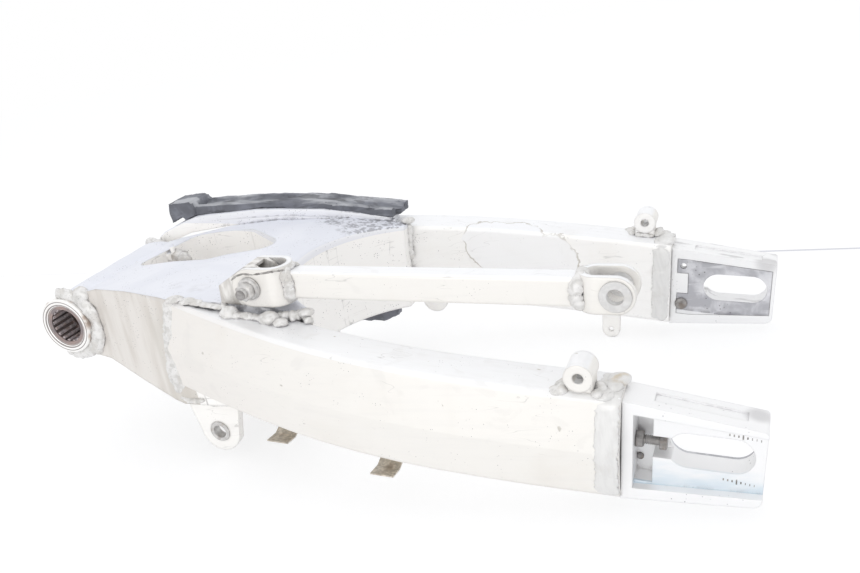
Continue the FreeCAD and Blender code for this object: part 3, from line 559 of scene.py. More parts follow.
def pivot_metal():
    """Turned tube: bright rims, a brown grease spot near the weld, dark and stained inside."""
    f = Finish("pivot_metal")
    c = colours()
    away = f.node("ShaderNodeVectorMath", {"operation": "LENGTH"},
                  {0: f.node("ShaderNodeCombineXYZ", None, {0: f.x, 1: f.z})}, output="Value")
    outside = away.between(0.0186, 0.0189)
    turned = f.noise(900.0, 2.0, f.stretched((0.02, 1.0, 0.02)))
    cloud = f.noise(60.0, 5.0)
    tint = f.mix(turned.between(0.3, 0.7) * 0.2, (0.98, 0.97, 0.95), (0.82, 0.80, 0.78))
    brown = f.near(at(23, -66, 7), 0.011, 0.7) * f.noise(130.0, 5.0).between(0.35, 0.6)
    tint = f.mix(brown * 0.8, tint, (0.38, 0.27, 0.20))
    tint = f.mix(cloud.between(0.52, 0.7) * 0.2, tint, tuple(c.stain))
    line = away.between(0.0221, 0.0224) * (1.0 - away.between(0.0228, 0.0231))
    mouth = line.larger(1.0 - away.between(0.0202, 0.0206)) * (f.y.absolute() > 0.0685)
    tint = f.mix(mouth * 0.85, tint, (0.15, 0.115, 0.115))
    edge_dirt = away.between(0.0236, 0.0246) * f.noise(60.0, 4.0).between(0.5, 0.62) * (f.y < -0.055)
    tint = f.mix(edge_dirt * 0.7, tint, (0.42, 0.30, 0.22))
    inner = f.mix(cloud.between(0.4, 0.7), (0.22, 0.19, 0.20), (0.36, 0.26, 0.22))
    f.set(base_color=f.mix(outside, inner, tint), metallic=0.4, roughness=0.28 + cloud * 0.2)
    f.bump(turned, 0.2, 0.0002)
    return f.material


def greasy_plate():
    """Wear plate: grey, dark along its edges, with painted shade round the slot, rubbed in pale streaks."""
    f = Finish("greasy_plate")
    film = f.noise(75.0, 7.0, warp=0.5)
    lines = f.noise(240.0, 4.0, f.stretched((0.12, 1.0, 1.0), (0.0, 0.2, 0.0)))
    tint = f.mix(film.between(0.38, 0.64), (0.46, 0.46, 0.49), (0.71, 0.71, 0.74))
    rows = f.level_z * f.level_z
    bank = rows.between(0.00036, 0.00056) * f.noise(110.0, 6.0).between(0.38, 0.58)
    # Painted shade: darker in the hollows round the slot.
    slot_shade = f.crevice(0.006).between(0.12, 0.5)
    tint = f.mix(bank.larger(slot_shade) * 0.6, tint, (0.17, 0.165, 0.18))
    rubbed = f.x.between(0.545, 0.560) * lines.between(0.42, 0.6)
    tint = f.mix(rubbed.larger(lines.between(0.60, 0.7)) * 0.5, tint, (0.82, 0.82, 0.84))
    tint = f.mix(f.specks(260.0, 0.2, 0.48) * 0.7, tint, (0.10, 0.095, 0.10))
    tail_x, tail_z = f.level_x - 0.5545, f.level_z + 0.0135
    corner = ((tail_x * tail_x + tail_z * tail_z) > 0.000169) * (tail_x > 0.0) * (tail_z < 0.0)
    foot = (f.level_z < -0.0232 - (f.level_x - 0.505) * 0.06) * (f.level_x < 0.556)
    bare = corner.larger(foot)
    tint = f.mix(bare * 0.9, tint, (0.90, 0.90, 0.91))
    f.set(base_color=tint, metallic=0.35, roughness=0.32 + film * 0.25)
    f.bump(film + lines * 0.6 - bare * 2.0, 0.3, 0.0003)
    return f.material


def worn_rubber():
    """Hard rubber, scored along the chain's run, dusty on top, dark in torn streaks, with painted shade deep
    in tears and corners.
    """
    f = Finish("worn_rubber")
    base = tuple(colours().rubber)
    scores = f.noise(150.0, 4.0, f.stretched((0.10, 1.0, 1.0)))
    cloud = f.noise(45.0, 6.0, warp=0.9)
    tint = f.mix(cloud.between(0.35, 0.7), base, tuple(v * 1.7 for v in base))
    dust = f.way_z.between(0.3, 0.8) * f.noise(60.0, 5.0, f.stretched((0.3, 1.0, 1.0))).between(0.42, 0.6)
    tint = f.mix(dust * 0.85, tint, (0.50, 0.51, 0.54))
    tint = f.mix(scores.between(0.56, 0.68) * 0.45, tint, (0.33, 0.34, 0.37))
    torn = f.noise(130.0, 6.0, f.stretched((0.22, 1.0, 1.0))).between(0.57, 0.64)
    tint = f.mix(torn * 0.55, tint, (0.045, 0.045, 0.05))
    # Painted shade: near black deep in tears and corners.
    tint = f.mix(f.crevice(0.004).between(0.3, 0.7) * 0.6, tint, (0.04, 0.04, 0.045))
    f.set(base_color=tint, roughness=0.50 + cloud * 0.25)
    f.bump(scores + cloud * 0.6 + f.noise(300.0, 4.0) * 0.3, 0.6, 0.0007)
    return f.material


def mark_and_shadow_black():
    """Worn black, for the marks at the slots and the painted shadow line under the clevis's rim."""
    f = Finish("mark_and_shadow_black")
    faded = f.noise(260.0, 4.0).between(0.35, 0.7)
    f.set(base_color=f.mix(faded, (0.18, 0.17, 0.16), (0.50, 0.48, 0.46)), roughness=0.6)
    return f.material


def notch_shade():
    """Shade inside a notch."""
    f = Finish("notch_shade")
    f.set(base_color=f.mix(f.noise(200.0, 4.0).between(0.4, 0.6), (0.10, 0.10, 0.11), (0.26, 0.26, 0.28)),
          roughness=0.7)
    return f.material


def backdrop_line():
    """Faint line where floor and backdrop meet, fading out to one side."""
    f = Finish("backdrop_line")
    shown = f.mix(f.x.between(-0.3, 0.56), (0.97, 0.97, 0.975), (0.70, 0.71, 0.76))
    glow = f.node("ShaderNodeEmission", None, {"Color": shown})
    f.tree.links.new(glow.socket, f.tree.nodes["Material Output"].inputs["Surface"])
    f.tree.nodes.remove(f.shader)
    return f.material


def floor_paper():
    """Pale floor that shows white to the camera and keeps the part's shadow."""
    f = Finish("floor_paper")
    shade = f.node("ShaderNodeBsdfDiffuse", None, {"Color": (0.90, 0.905, 0.92)})
    glow = f.node("ShaderNodeEmission", None, {"Color": (1.0, 1.0, 1.0), "Strength": 1.12})
    path = f.tree.nodes.new("ShaderNodeLightPath")
    seen = Wire(f, path.outputs["Is Camera Ray"])
    share = seen * 0.32 + 0.30
    both = f.node("ShaderNodeMixShader", None, {0: share, 1: shade, 2: glow})
    f.tree.links.new(both.socket, f.tree.nodes["Material Output"].inputs["Surface"])
    f.tree.nodes.remove(f.shader)
    return f.material


MAKERS = {made.__name__: made for made in (
    extruded_aluminium, hoop_aluminium, bracket_aluminium, cast_aluminium, forged_aluminium, weld_metal,
    ground_weld, tarnished_steel, spring_steel, bright_steel, turned_steel, bearing_steel, bearing_cup_steel,
    pivot_metal, greasy_plate, worn_rubber, mark_and_shadow_black, notch_shade, backdrop_line, floor_paper)}

# The first start that fits a node's name gives its finish
NODE_FINISH = (
    ("cross_casting", "cast_aluminium"), ("slider_rib", "cast_aluminium"),
    ("lug_bush", "bright_steel"), ("lug_", "extruded_aluminium"),
    ("wear_plate", "greasy_plate"), ("plate_screw", "tarnished_steel"),
    ("adjuster_bolt", "tarnished_steel"), ("lock_nut", "tarnished_steel"),
    ("bearing_cup", "bearing_cup_steel"), ("needles", "bearing_steel"),
    ("pivot_tube", "pivot_metal"), ("hose_clip", "spring_steel"), ("grease_fitting", "bright_steel"),
    ("torque_bolt", "bright_steel"), ("torque_nut", "bright_steel"), ("torque_washer", "bright_steel"),
    ("torque_bracket", "bracket_aluminium"), ("bracket_sleeve", "bright_steel"),
    ("front_clevis", "hoop_aluminium"), ("rear_clevis", "hoop_aluminium"), ("eye_rings", "turned_steel"),
    ("chain_slider", "worn_rubber"), ("lower_rub_strip", "worn_rubber"),
    ("stand_boss", "extruded_aluminium"), ("pivot_welds", "weld_metal"),
    ("front_welds", "weld_metal"), ("rear_welds", "weld_metal"),
)


def node_finish(name):
    for start, finish in NODE_FINISH:
        if name.startswith(start):
            return finish
    return "forged_aluminium" if name.endswith("_end") else "extruded_aluminium"


def keep(mesh, name, finish, body, replaces=()):
    """Turns a finished bmesh into a piece of the part."""
    bmesh.ops.remove_doubles(mesh, verts=mesh.verts, dist=DOUBLES)
    bmesh.ops.recalc_face_normals(mesh, faces=mesh.faces)
    data = bpy.data.meshes.new(name)
    mesh.to_mesh(data)
    mesh.free()
    data.shade_smooth()
    data.set_sharp_from_angle(angle=PIECE_SHARP)
    piece = bpy.data.objects.new(name, data)
    bpy.context.scene.collection.objects.link(piece)
    data.materials.append(finish_of(finish))
    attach(piece, body)
    if replaces:
        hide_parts(*replaces)
    return piece


def ring_matrix(point, forward, up, wide, high):
    """Where a cross section stands: its x is the width, its y the height."""
    forward = forward.normalized()
    side = up.cross(forward).normalized()
    tall = forward.cross(side).normalized()
    spin = Matrix((side, tall, forward)).transposed().to_4x4()
    return Matrix.Translation(point) @ spin @ Matrix.Diagonal((wide, high, 1.0, 1.0))


def along(points, step):
    """Points an even step apart along a line of points."""
    lengths = [0.0]
    for a, b in zip(points, points[1:]):
        lengths.append(lengths[-1] + (b - a).length)
    count = max(3, int(lengths[-1] / step))
    found, i = [], 0
    for k in range(count + 1):
        want = lengths[-1] * k / count
        while i < len(points) - 2 and want > lengths[i + 1]:
            i += 1
        share = (want - lengths[i]) / max(lengths[i + 1] - lengths[i], 1e-9)
        found.append(points[i].lerp(points[i + 1], share))
    return found


def smoothed(points, times, closed):
    for _ in range(times):
        count = len(points)
        moved = []
        for i, p in enumerate(points):
            if not closed and i in (0, count - 1):
                moved.append(p)
            else:
                moved.append(p * 0.5 + points[i - 1] * 0.25 + points[(i + 1) % count] * 0.25)
        points = moved
    return points


def ring_edges(ring):
    return list({e for v in ring for e in v.link_edges if all(w in ring for w in e.verts)})


def swept(mesh, places, sides, closed=False):
    """A skin drawn through circles that stand at the given places."""
    made = bmesh.ops.create_circle(mesh, segments=sides, radius=1.0, matrix=places[0])
    ring = first = made["verts"]
    rings = [ring]
    for before, place in zip(places, places[1:]):
        drawn = bmesh.ops.extrude_edge_only(mesh, edges=ring_edges(ring))
        ring = [g for g in drawn["geom"] if isinstance(g, bmesh.types.BMVert)]
        bmesh.ops.transform(mesh, matrix=place @ before.inverted(), verts=ring)
        rings.append(ring)
    if closed:
        bmesh.ops.bridge_loops(mesh, edges=ring_edges(first) + ring_edges(ring))
    else:
        bmesh.ops.edgeloop_fill(mesh, edges=ring_edges(first))
        bmesh.ops.edgeloop_fill(mesh, edges=ring_edges(ring))
    return rings


def weld_bead(mesh, points, up, wide, high=None, ripple=0.10, lumps=0.16, seed=0.0, closed=False, soft=2,
              sides=14):
    """A weld bead: rings along a line, swollen in ripples and lumps, with round ends."""
    high = high or wide
    step = wide * 0.16
    line = smoothed(along([Vector(p) for p in points], step), soft, closed)
    if closed:
        line = line[:-1]
    count = len(line)
    places = []
    for i, point in enumerate(line):
        forward = line[(i + 1) % count] - line[i - 1] if closed or 0 < i < count - 1 else (
            line[1] - line[0] if i == 0 else line[-1] - line[-2])
        wave = abs(math.sin(math.pi * i * step / (wide * 0.9) + 1.2 * noise.noise(point * 70.0)))
        swell = 1.0 - ripple + ripple * wave ** 0.6
        lump = 1.0 + lumps * noise.noise(point * (0.5 / wide) + Vector((seed, seed * 1.7, 0.3)))
        cap = 1.0
        if not closed:
            from_end = min(i, count - 1 - i) * step / (wide * 0.8)
            cap = math.sqrt(max(0.05, 1.0 - max(0.0, 1.0 - from_end) ** 2))
        drift = noise.noise(point * 60.0 + Vector((0.0, seed, 5.0))) * wide * lumps * 0.5
        place = ring_matrix(point, forward, up(point) if callable(up) else up, wide * swell * lump * cap,
                            high * swell * lump * cap)
        places.append(place @ Matrix.Translation((drift / (wide * cap), 0.0, 0.0)))
    for place, ring in zip(places, swept(mesh, places, sides, closed)):
        middle = place.translation
        for v in ring:
            out = v.co - middle
            v.co += out * (0.22 * noise.noise(v.co * (0.9 / high) + Vector((seed, 1.0, 2.0))))


def blob(mesh, point, radius, squash=(1.0, 1.0, 0.8), seed=0.0):
    """A round lump of weld metal."""
    made = bmesh.ops.create_icosphere(mesh, subdivisions=3, radius=1.0)
    for v in made["verts"]:
        swell = 1.0 + 0.14 * noise.noise(v.co * 1.7 + Vector((seed, 0.0, seed)))
        v.co = Vector((v.co.x * squash[0], v.co.y * squash[1], v.co.z * squash[2])) * radius * swell + point


def lathe(mesh, start, axis, steps, sides):
    """A turned shape along an axis, from its (run, radius) steps."""
    turn = axis.to_track_quat("Z", "Y").to_matrix().to_4x4()
    places = [Matrix.Translation(start) @ turn @ Matrix.Translation((0, 0, run)) @ Matrix.Scale(radius, 4)
              for run, radius in steps]
    swept(mesh, places, sides)


def merged_copy(node):
    """The node's mesh as one skin, its doubled points merged, to work on."""
    mesh = bmesh.new()
    mesh.from_mesh(NODES[node].data)
    bmesh.ops.remove_doubles(mesh, verts=mesh.verts, dist=SKIN_GAP)
    return mesh


class SWINGARM_OT_finish_metal(bpy.types.Operator):
    """Give every node of the part its finish"""

    bl_idname = "swingarm.finish_metal"
    bl_label = "Finish metal"

    def execute(self, context):
        for name, piece in NODES.items():
            piece.data.materials.clear()
            piece.data.materials.append(finish_of(node_finish(name)))
            piece.data.shade_smooth()
            piece.data.set_sharp_from_angle(angle=NODE_SHARP)
        return {"FINISHED"}


class SWINGARM_OT_pivot_welds(bpy.types.Operator):
    """Lay the flat, lumpy collars where the casting meets the pivot tube"""

    bl_idname = "swingarm.pivot_welds"
    bl_label = "Pivot welds"

    def execute(self, context):
        size = sizes().pivot_bead
        mesh = bmesh.new()
        first, sweep, parts = -112, 218, 36
        for _, side in SIDES:
            arc = []
            for i in range(parts + 1):
                a = math.radians(first + sweep * i / parts)
                reach = PIVOT_R + 1.5 + 2.2 * max(0.0, math.cos(a))
                arc.append(at(reach * math.cos(a), side * 62.4, reach * math.sin(a)))
            weld_bead(mesh, arc, Vector((0, side, 0)), size, size * 0.62, 0.07, 0.34, seed=side * 3.0,
                      soft=1)
            share, height = (1.0, 28.2) if side < 0 else (0.45, 26.04)
            blob(mesh, at(18, side * 60.5, 27.5), size * 1.15 * share, (1.15, 0.7, 0.95), side * 2.0)
            blob(mesh, at(7, side * 62.5, height), size * 0.85 * share, (1.1, 0.6, 0.6), side * 5.0)
            blob(mesh, at(24, side * 62.5, -22.0), size * 0.8, (0.9, 0.6, 1.0), side * 6.0)
        line = [at(4.0, -60, -24.4), at(4.0, 60, -24.4)]
        weld_bead(mesh, line, Vector((0, 0, -1)), size * 0.6, size * 0.4, 0.2, 0.25, seed=4.0)
        keep(mesh, "pivot_weld_beads", "weld_metal", "frame", ("pivot_welds",))
        return {"FINISHED"}


class SWINGARM_OT_pivot_collar(bpy.types.Operator):
    """Carry the casting's skin over the top of the pivot tube"""

    bl_idname = "swingarm.pivot_collar"
    bl_label = "Pivot collar"

    def execute(self, context):
        rise = sizes().collar_rise / MM
        mesh = bmesh.new()
        places = []
        along_y = Vector((0, 1, 0))
        lean = (at(-0.28, 0, 1) - at(0, 0, 0)).normalized()
        first, reach, parts = -60.0, 122.0, 40
        for i in range(parts + 1):
            share = i / parts
            y = first + reach * share
            end = min(1.0, min(i, parts - i) / 4.0) ** 0.5
            wave = 1.0 + 0.04 * noise.noise(Vector((y * 0.05, 0.0, 0.0)))
            high = (rise - 1.5 + 1.5 * share) * (0.55 + 0.45 * end) * wave
            wide = 21.0 * (0.8 + 0.2 * end)
            places.append(ring_matrix(at(10.0, y, 21.5), along_y, lean, wide * MM, high * MM))
        swept(mesh, places, 40)
        keep(mesh, "pivot_collar", "cast_aluminium", "frame")
        return {"FINISHED"}


class SWINGARM_OT_window_corner(bpy.types.Operator):
    """Cast the elbow rib and the fin that stand in the window's front corner"""

    bl_idname = "swingarm.window_corner"
    bl_label = "Window corner"

    def execute(self, context):
        mesh = bmesh.new()
        elbow = [at(26, 4, 27), at(28.5, 9, 29), at(31, 15, 30), at(34, 20.5, 30.8), at(38, 25.5, 31.2),
                 at(43, 29, 31.2), at(50, 29, 30.5)]
        weld_bead(mesh, elbow, Vector((0, 0, 1)), 0.0054, 0.0052, 0.0, 0.10, seed=2.0, soft=8, sides=20)
        fin = bmesh.ops.create_cube(mesh, size=1.0, matrix=Matrix.Translation(at(52.3, 26.7, 32.3))
                                    @ Matrix.Rotation(math.radians(36), 4, "Z")
                                    @ Matrix.Diagonal((0.0038, 0.010, 0.019, 1.0)))
        rims = list({e for v in fin["verts"] for e in v.link_edges})
        bmesh.ops.bevel(mesh, geom=rims, offset=0.0009, offset_type="OFFSET", segments=3, profile=0.5,
                        affect="EDGES", material=-1, clamp_overlap=True)
        keep(mesh, "window_elbow", "cast_aluminium", "frame")
        return {"FINISHED"}


class SWINGARM_OT_grease_fitting(bpy.types.Operator):
    """Make the grease fitting beside the fin: a hexagon, a collar and a nipple"""

    bl_idname = "swingarm.grease_fitting"
    bl_label = "Grease fitting"

    def execute(self, context):
        start = at(54.0, 27.6, 31.6)
        axis = (at(1.0, -0.34, -0.05) - at(0, 0, 0)).normalized()
        mesh = bmesh.new()
        hex_piece(mesh, 0.0130, start, axis, 0.0098)
        steps = ((0.0092, 0.0058), (0.0104, 0.0062), (0.0120, 0.0056), (0.0142, 0.0042), (0.0152, 0.0032),
                 (0.0164, 0.0030), (0.0174, 0.0036), (0.0188, 0.0032), (0.0198, 0.0018))
        lathe(mesh, start, axis, steps, 24)
        keep(mesh, "grease_nipple", "bright_steel", "frame", ("grease_fitting",))
        return {"FINISHED"}


class SWINGARM_OT_plate_screws(bpy.types.Operator):
    """Make the dished heads of the wear plates' screws"""

    bl_idname = "swingarm.plate_screws"
    bl_label = "Plate screws"

    def execute(self, context):
        for name, side in SIDES:
            start = at(494.0, side * END_IN, -16.5)
            steps = ((-0.006, 0.0022), (0.0, 0.0022), (0.0, 0.0050), (0.0008, 0.0052), (0.0016, 0.0049),
                     (0.0023, 0.0040), (0.0026, 0.0028), (0.0022, 0.0016), (0.0018, 0.0010))
            mesh = bmesh.new()
            lathe(mesh, start, Vector((0, -side, 0)), steps, 32)
            keep(mesh, "screw_head_" + name, "tarnished_steel", "frame", ("plate_screw_" + name,))
        return {"FINISHED"}


def level_with(line, x):
    """The height of a line of (x, z) places at x."""
    for (x0, z0), (x1, z1) in zip(line, line[1:]):
        if x <= x1:
            return z0 + (z1 - z0) * max(0.0, (x - x0) / (x1 - x0))
    return line[-1][1]


# Underside and top of the slider as worn, beside the line it was drawn on
SLIDER_DRAWN = ((33, 47), (140, 54.5), (190, 53), (241, 50))
SLIDER_FOOT = ((33, 50.5), (48, 52.6), (82, 56), (108, 59), (128, 59.8), (145, 59.8), (176, 60), (210, 56.5),
               (241, 52.5))
SLIDER_HEAD = ((33, 61.5), (48, 62.5), (68, 63.8), (82, 64.6), (108, 66.0), (128, 66.6), (145, 66.8),
               (176, 66.9), (210, 64.0), (241, 61.0))
HOOK_FOOT = ((17, 40.5), (31, 47), (45, 52.8))
HOOK_HEAD = ((17, 64.5), (40, 66.5), (45, 66.0))
HOOK_DRAWN_FOOT = ((27, 24), (31, 43), (41, 47))
HOOK_DRAWN_HEAD = ((10, 50), (17, 58), (24, 63.5), (35, 62), (41, 60.6))


class SWINGARM_OT_shoulder(bpy.types.Operator):
    """Cast the shoulder and the ledge that carry the slider"""

    bl_idname = "swingarm.shoulder"
    bl_label = "Shoulder"

    def execute(self, context):
        mesh = bmesh.new()
        top = [(0, 22), (4, 31), (10, 36), (17, 39.6)]
        top += [(x, level_with(HOOK_FOOT, x) - 0.8) for x in (24, 31, 38, 45)]
        top += [(x, level_with(SLIDER_FOOT, x) + 0.4)
                for x in (60, 82, 108, 128, 145, 160, 176, 193, 210, 226, 238)]
        outline = top + [(x, z - (14.0 if x < 60 else 9.0)) for x, z in reversed(top) if x > 20]
        verts = [bmesh.ops.create_vert(mesh, co=at(x, self.near_side(x), z))["vert"][0] for x, z in outline]
        face = mesh.faces.new(verts)
        out = bmesh.ops.extrude_face_region(mesh, geom=[face])
        moved = [g for g in out["geom"] if isinstance(g, bmesh.types.BMVert)]
        bmesh.ops.translate(mesh, verts=moved, vec=(0, 0.024, 0))
        rims = [e for e in mesh.edges if len(e.link_faces) == 2 and e.calc_face_angle(0.0) > 0.6]
        bmesh.ops.bevel(mesh, geom=rims, offset=0.0020, offset_type="OFFSET", segments=4, profile=0.5,
                        affect="EDGES", material=-1, clamp_overlap=True)
        keep(mesh, "slider_shoulder", "cast_aluminium", "frame")
        return {"FINISHED"}

    def near_side(self, x):
        return 69.5 + x * 0.14 if x < 60 else 77.9 + (x - 60) * 0.122


class SWINGARM_OT_seam_welds(bpy.types.Operator):
    """Lay the wide bands between the casting and the arms"""

    bl_idname = "swingarm.seam_welds"
    bl_label = "Seam welds"

    def execute(self, context):
        size = sizes().seam_bead
        for name, side in SIDES:
            mesh = bmesh.new()
            out = Vector((0, side, 0))
            outer = [at(141.5, side * 98.8, 50), at(138.0, side * 99.4, 30), at(133.5, side * 98.6, 6),
                     at(131.5, side * 97.6, -16), at(133.0, side * 95.6, -30), at(136.0, side * 91.0, -34)]
            weld_bead(mesh, outer, out, size, size * 0.26, 0.05, 0.14, seed=side * 5.0, soft=6, sides=24)
            lumps = ((136.5, 99.8, 22, 0.95), (133.0, 98.8, -4, 0.62), (132.0, 97.8, -19, 0.6),
                     (136.0, 99.6, 12, 0.6), (131.5, 97.0, -28, 0.5))
            for i, (x, y, z, share) in enumerate(lumps):
                blob(mesh, at(x, side * y, z), size * share, (0.85, 0.30, 0.85), i * 2.0 + side)
            for x, y, reach in ((143, 97.0, 0.95), (155, 98.2, 0.85), (163, 98.6, 0.7)):
                blob(mesh, at(x, side * y, 50.4), size * reach, (1.0, 0.75, 0.34), x + side)
            top = [at(163, side * 99.5, 50.2), at(190, side * 102, 50.0)]
            weld_bead(mesh, top, Vector((0, 0, 1)), size * 0.45, size * 0.16, 0.0, 0.15, seed=side * 2.0)
            low = [at(130, side * 93, -36), at(142, side * 96, -37.5), at(154, side * 97, -35)]
            weld_bead(mesh, low, Vector((0, 0, -1)), size * 0.6, size * 0.3, 0.1, 0.2, seed=side * 4.0)
            inner = [at(255.5, side * 97.8, 49), at(254.6, side * 97.6, 22 if side > 0 else -26)]
            weld_bead(mesh, inner, -out, size * 0.62, size * 0.26, 0.06, 0.16, seed=side * 7.0, soft=4)
            if side > 0:
                blob(mesh, at(254.6, 97.4, 20), size * 0.78, (0.95, 0.34, 1.05), 4.0)
                below = [at(253.5, 97.6, -4), at(253.5, 97.6, -25)]
                weld_bead(mesh, below, -out, size * 0.55, size * 0.26, 0.1, 0.2, seed=9.0)
            blob(mesh, at(256, side * 99, 51), size * 0.8, (1.0, 0.8, 0.45), side * 9.0)
            keep(mesh, "seam_welds_" + name, "weld_metal", "frame", ("front_welds_" + name,))
        return {"FINISHED"}


class SWINGARM_OT_inner_notch(bpy.types.Operator):
    """Make a dark disc of painted shade for the notch under the inner seam of the chain side, with a dark
    streak beside it
    """

    bl_idname = "swingarm.inner_notch"
    bl_label = "Inner notch"

    def execute(self, context):
        inward = Vector((0, -1, 0))
        mesh = bmesh.new()
        bmesh.ops.create_cone(mesh, cap_ends=True, segments=40, radius1=0.0063, radius2=0.0060, depth=0.0008,
                              matrix=Matrix.Translation(at(249.6, 97.2, 8.5))
                              @ inward.to_track_quat("Z", "Y").to_matrix().to_4x4())
        smear = [at(250, 97.3, 6), at(256, 97.4, 4), at(258, 97.4, 0)]
        weld_bead(mesh, smear, inward, 0.0028, 0.0007, 0.3, 0.5, seed=3.0)
        keep(mesh, "inner_notch", "notch_shade", "frame")
        return {"FINISHED"}


class SWINGARM_OT_rear_welds(bpy.types.Operator):
    """Lay the ground bands where the rear ends join the arms"""

    bl_idname = "swingarm.rear_welds"
    bl_label = "Rear welds"

    def execute(self, context):
        size = sizes().end_bead
        for name, side in SIDES:
            mesh = bmesh.new()
            x, y_out, y_in, top, low = WELD_X - 7.5, 145.3, 109.9, 36.4, -33.6
            loop = [(y_out, low + 4), (y_out + 2.2, -17), (y_out + 3.9, -1), (y_out + 2.0, 18),
                    (y_out, top - 4), (y_out - 4, top), (y_in + 4, top), (y_in, top - 4),
                    (y_in, low + 4), (y_in + 4, low),
                    (y_out - 4, low), (y_out, low + 4)]
            middle = at(x, side * (y_out + y_in) / 2, 0)
            weld_bead(mesh, [at(x, side * y, z) for y, z in loop], lambda p: p - middle, size, size * 0.15,
                      0.02, 0.10, seed=side * 6.0, closed=True, soft=5, sides=18)
            blob(mesh, at(x + 3, side * 121, 37.0), 0.0075, (1.0, 1.0, 0.42), side * 3.0)
            blob(mesh, at(x + 1, side * 131, 37.0), 0.0058, (1.1, 1.2, 0.4), side * 4.0)
            blob(mesh, at(x - 3, side * 141, 36.0), 0.0052, (1.2, 0.9, 0.5), side * 5.0)
            for z, tall in ((26.0, 1.5), (8.8, 0.9), (-8.4, 0.9), (-22.0, 1.6)):
                blob(mesh, at(x + 0.5, side * (y_in - 0.3), z), 0.0062, (0.95, 0.22, tall), z)
            keep(mesh, "rear_weld_bands_" + name, "ground_weld", "frame", ("rear_welds_" + name,))
        return {"FINISHED"}


class SWINGARM_OT_small_welds(bpy.types.Operator):
    """Lay the small beads at the bracket, bosses, lugs and tabs"""

    bl_idname = "swingarm.small_welds"
    bl_label = "Small welds"

    def execute(self, context):
        size = sizes().small_bead
        up = Vector((0, 0, 1))
        mesh = bmesh.new()
        weld_bead(mesh, [at(194, -107, 48.2), at(234, -108, 47.0)], up, size * 1.2, size, 0.08, 0.3,
                  seed=1.0)
        blob(mesh, at(197.5, -107.6, 48.4), 0.0074, (1.0, 0.8, 0.85), 5.0)
        blob(mesh, at(231, -108.4, 47.8), 0.0074, (1.15, 0.85, 0.8), 6.0)
        blob(mesh, at(241, -110.5, 46.8), 0.0048, (1.3, 1.0, 0.7), 7.0)
        blob(mesh, at(204, -109, 47.6), 0.0040, (1.4, 0.8, 0.7), 8.0)
        weld_bead(mesh, [at(234, -103.5, 47.6), at(246, -100.5, 47.8), at(256, -96, 48.4)], up, size * 2.0,
                  size * 1.6, 0.32, 0.15, seed=2.0)
        weld_bead(mesh, [at(256, -100, 47.2), at(262, -104, 46.6)], up, size * 1.3, size * 1.2, 0.1, 0.3,
                  seed=12.0)
        front = [at(190, -104, 49), at(186.5, -92, 52), at(186.5, -80, 52)]
        weld_bead(mesh, front, up, size * 1.2, size, 0.1, 0.3, seed=3.0)
        keep(mesh, "bracket_welds", "weld_metal", "frame")
        for name, side in SIDES:
            mesh = bmesh.new()
            for x, lean in ((BOSS_X - 9.5, -1), (BOSS_X + 9.5, 1)):
                line = [at(x, side * 146, 37.6), at(x + lean * 3, side * 138, 37.2), at(x, side * 129, 37.6)]
                weld_bead(mesh, line, up, size * 1.5, size * 1.2, 0.10, 0.4, seed=x)
            line = [at(BOSS_X - 8, side * 128.6, 37.6), at(BOSS_X + 8, side * 128.6, 37.6)]
            weld_bead(mesh, line, up, size * 1.3, size, 0.1, 0.3, seed=side * 8.0)
            blob(mesh, at(BOSS_X - 14, side * 142, 36.6), 0.0046, (1.3, 1.0, 0.6), side * 2.0)
            blob(mesh, at(BOSS_X + 14, side * 139, 36.2), 0.0050, (1.2, 1.3, 0.55), side * 4.0)
            keep(mesh, "boss_welds_" + name, "weld_metal", "frame")
            mesh = bmesh.new()
            for gap in (3.6, -3.6):
                line = [at(LUG.x - 25, side * (LUG.y + gap), -39.5), at(LUG.x, side * (LUG.y + gap), -40.0),
                        at(LUG.x + 21, side * (LUG.y + gap), -37.5)]
                weld_bead(mesh, line, Vector((0, side, 0)), size, size * 0.8, 0.12, 0.25, seed=gap * side)
            keep(mesh, "lug_welds_" + name, "weld_metal", "frame")
        return {"FINISHED"}


def tipped(x, y, z):
    """A place on the torque arm, measured along it from its bolt."""
    run = BOLT_EYE - BOLT
    rise = -math.atan2(run.z, run.x)
    turn = Matrix.Rotation(rise, 4, "Y")
    return LAID_DOWN @ (BOLT + turn @ Vector((x, y, z)))


class SWINGARM_OT_torque_welds(bpy.types.Operator):
    """Lay the beads that join the torque arm's tube to its clevises"""

    bl_idname = "swingarm.torque_welds"
    bl_label = "Torque arm welds"

    def execute(self, context):
        size = sizes().small_bead
        mesh = bmesh.new()
        reach = (BOLT_EYE - BOLT).length
        for x, seed in ((29.0, 3.0), (reach - 25.5, 8.0)):
            loop = []
            for i in range(33):
                a = 2 * math.pi * i / 32
                y = math.copysign(abs(math.cos(a)) ** 0.5 * 8.6, math.cos(a))
                z = math.copysign(abs(math.sin(a)) ** 0.5 * 10.6, math.sin(a))
                lean = 3.5 * (1.0 - abs(math.cos(a)) ** 3) * (1.0 if x < 100 else -1.0)
                loop.append(tipped(x - lean, y, z))
            middle = tipped(x, 0.0, 0.0)
            weld_bead(mesh, loop, lambda p: p - middle, size * 1.7, size * 1.1, 0.16, 0.26, seed=seed,
                      closed=True, soft=3)
        keep(mesh, "torque_arm_welds", "weld_metal", "torque_arm")
        # Painted shadow: a thin dark line on the clevis face under its rim.
        mesh = bmesh.new()
        trail = ((201.5, 73.5), (206, 77.0), (212, 79.3), (220, 79.2), (237, 83.0), (247, 85.0))
        line = [at(x, CLEVIS_FACE - 0.05, z) for x, z in trail]
        weld_bead(mesh, line, Vector((0, -1, 0)), 0.0007, 0.0002, 0.2, 0.6, seed=5.0)
        keep(mesh, "clevis_rim_shadow", "mark_and_shadow_black", "torque_arm")
        return {"FINISHED"}


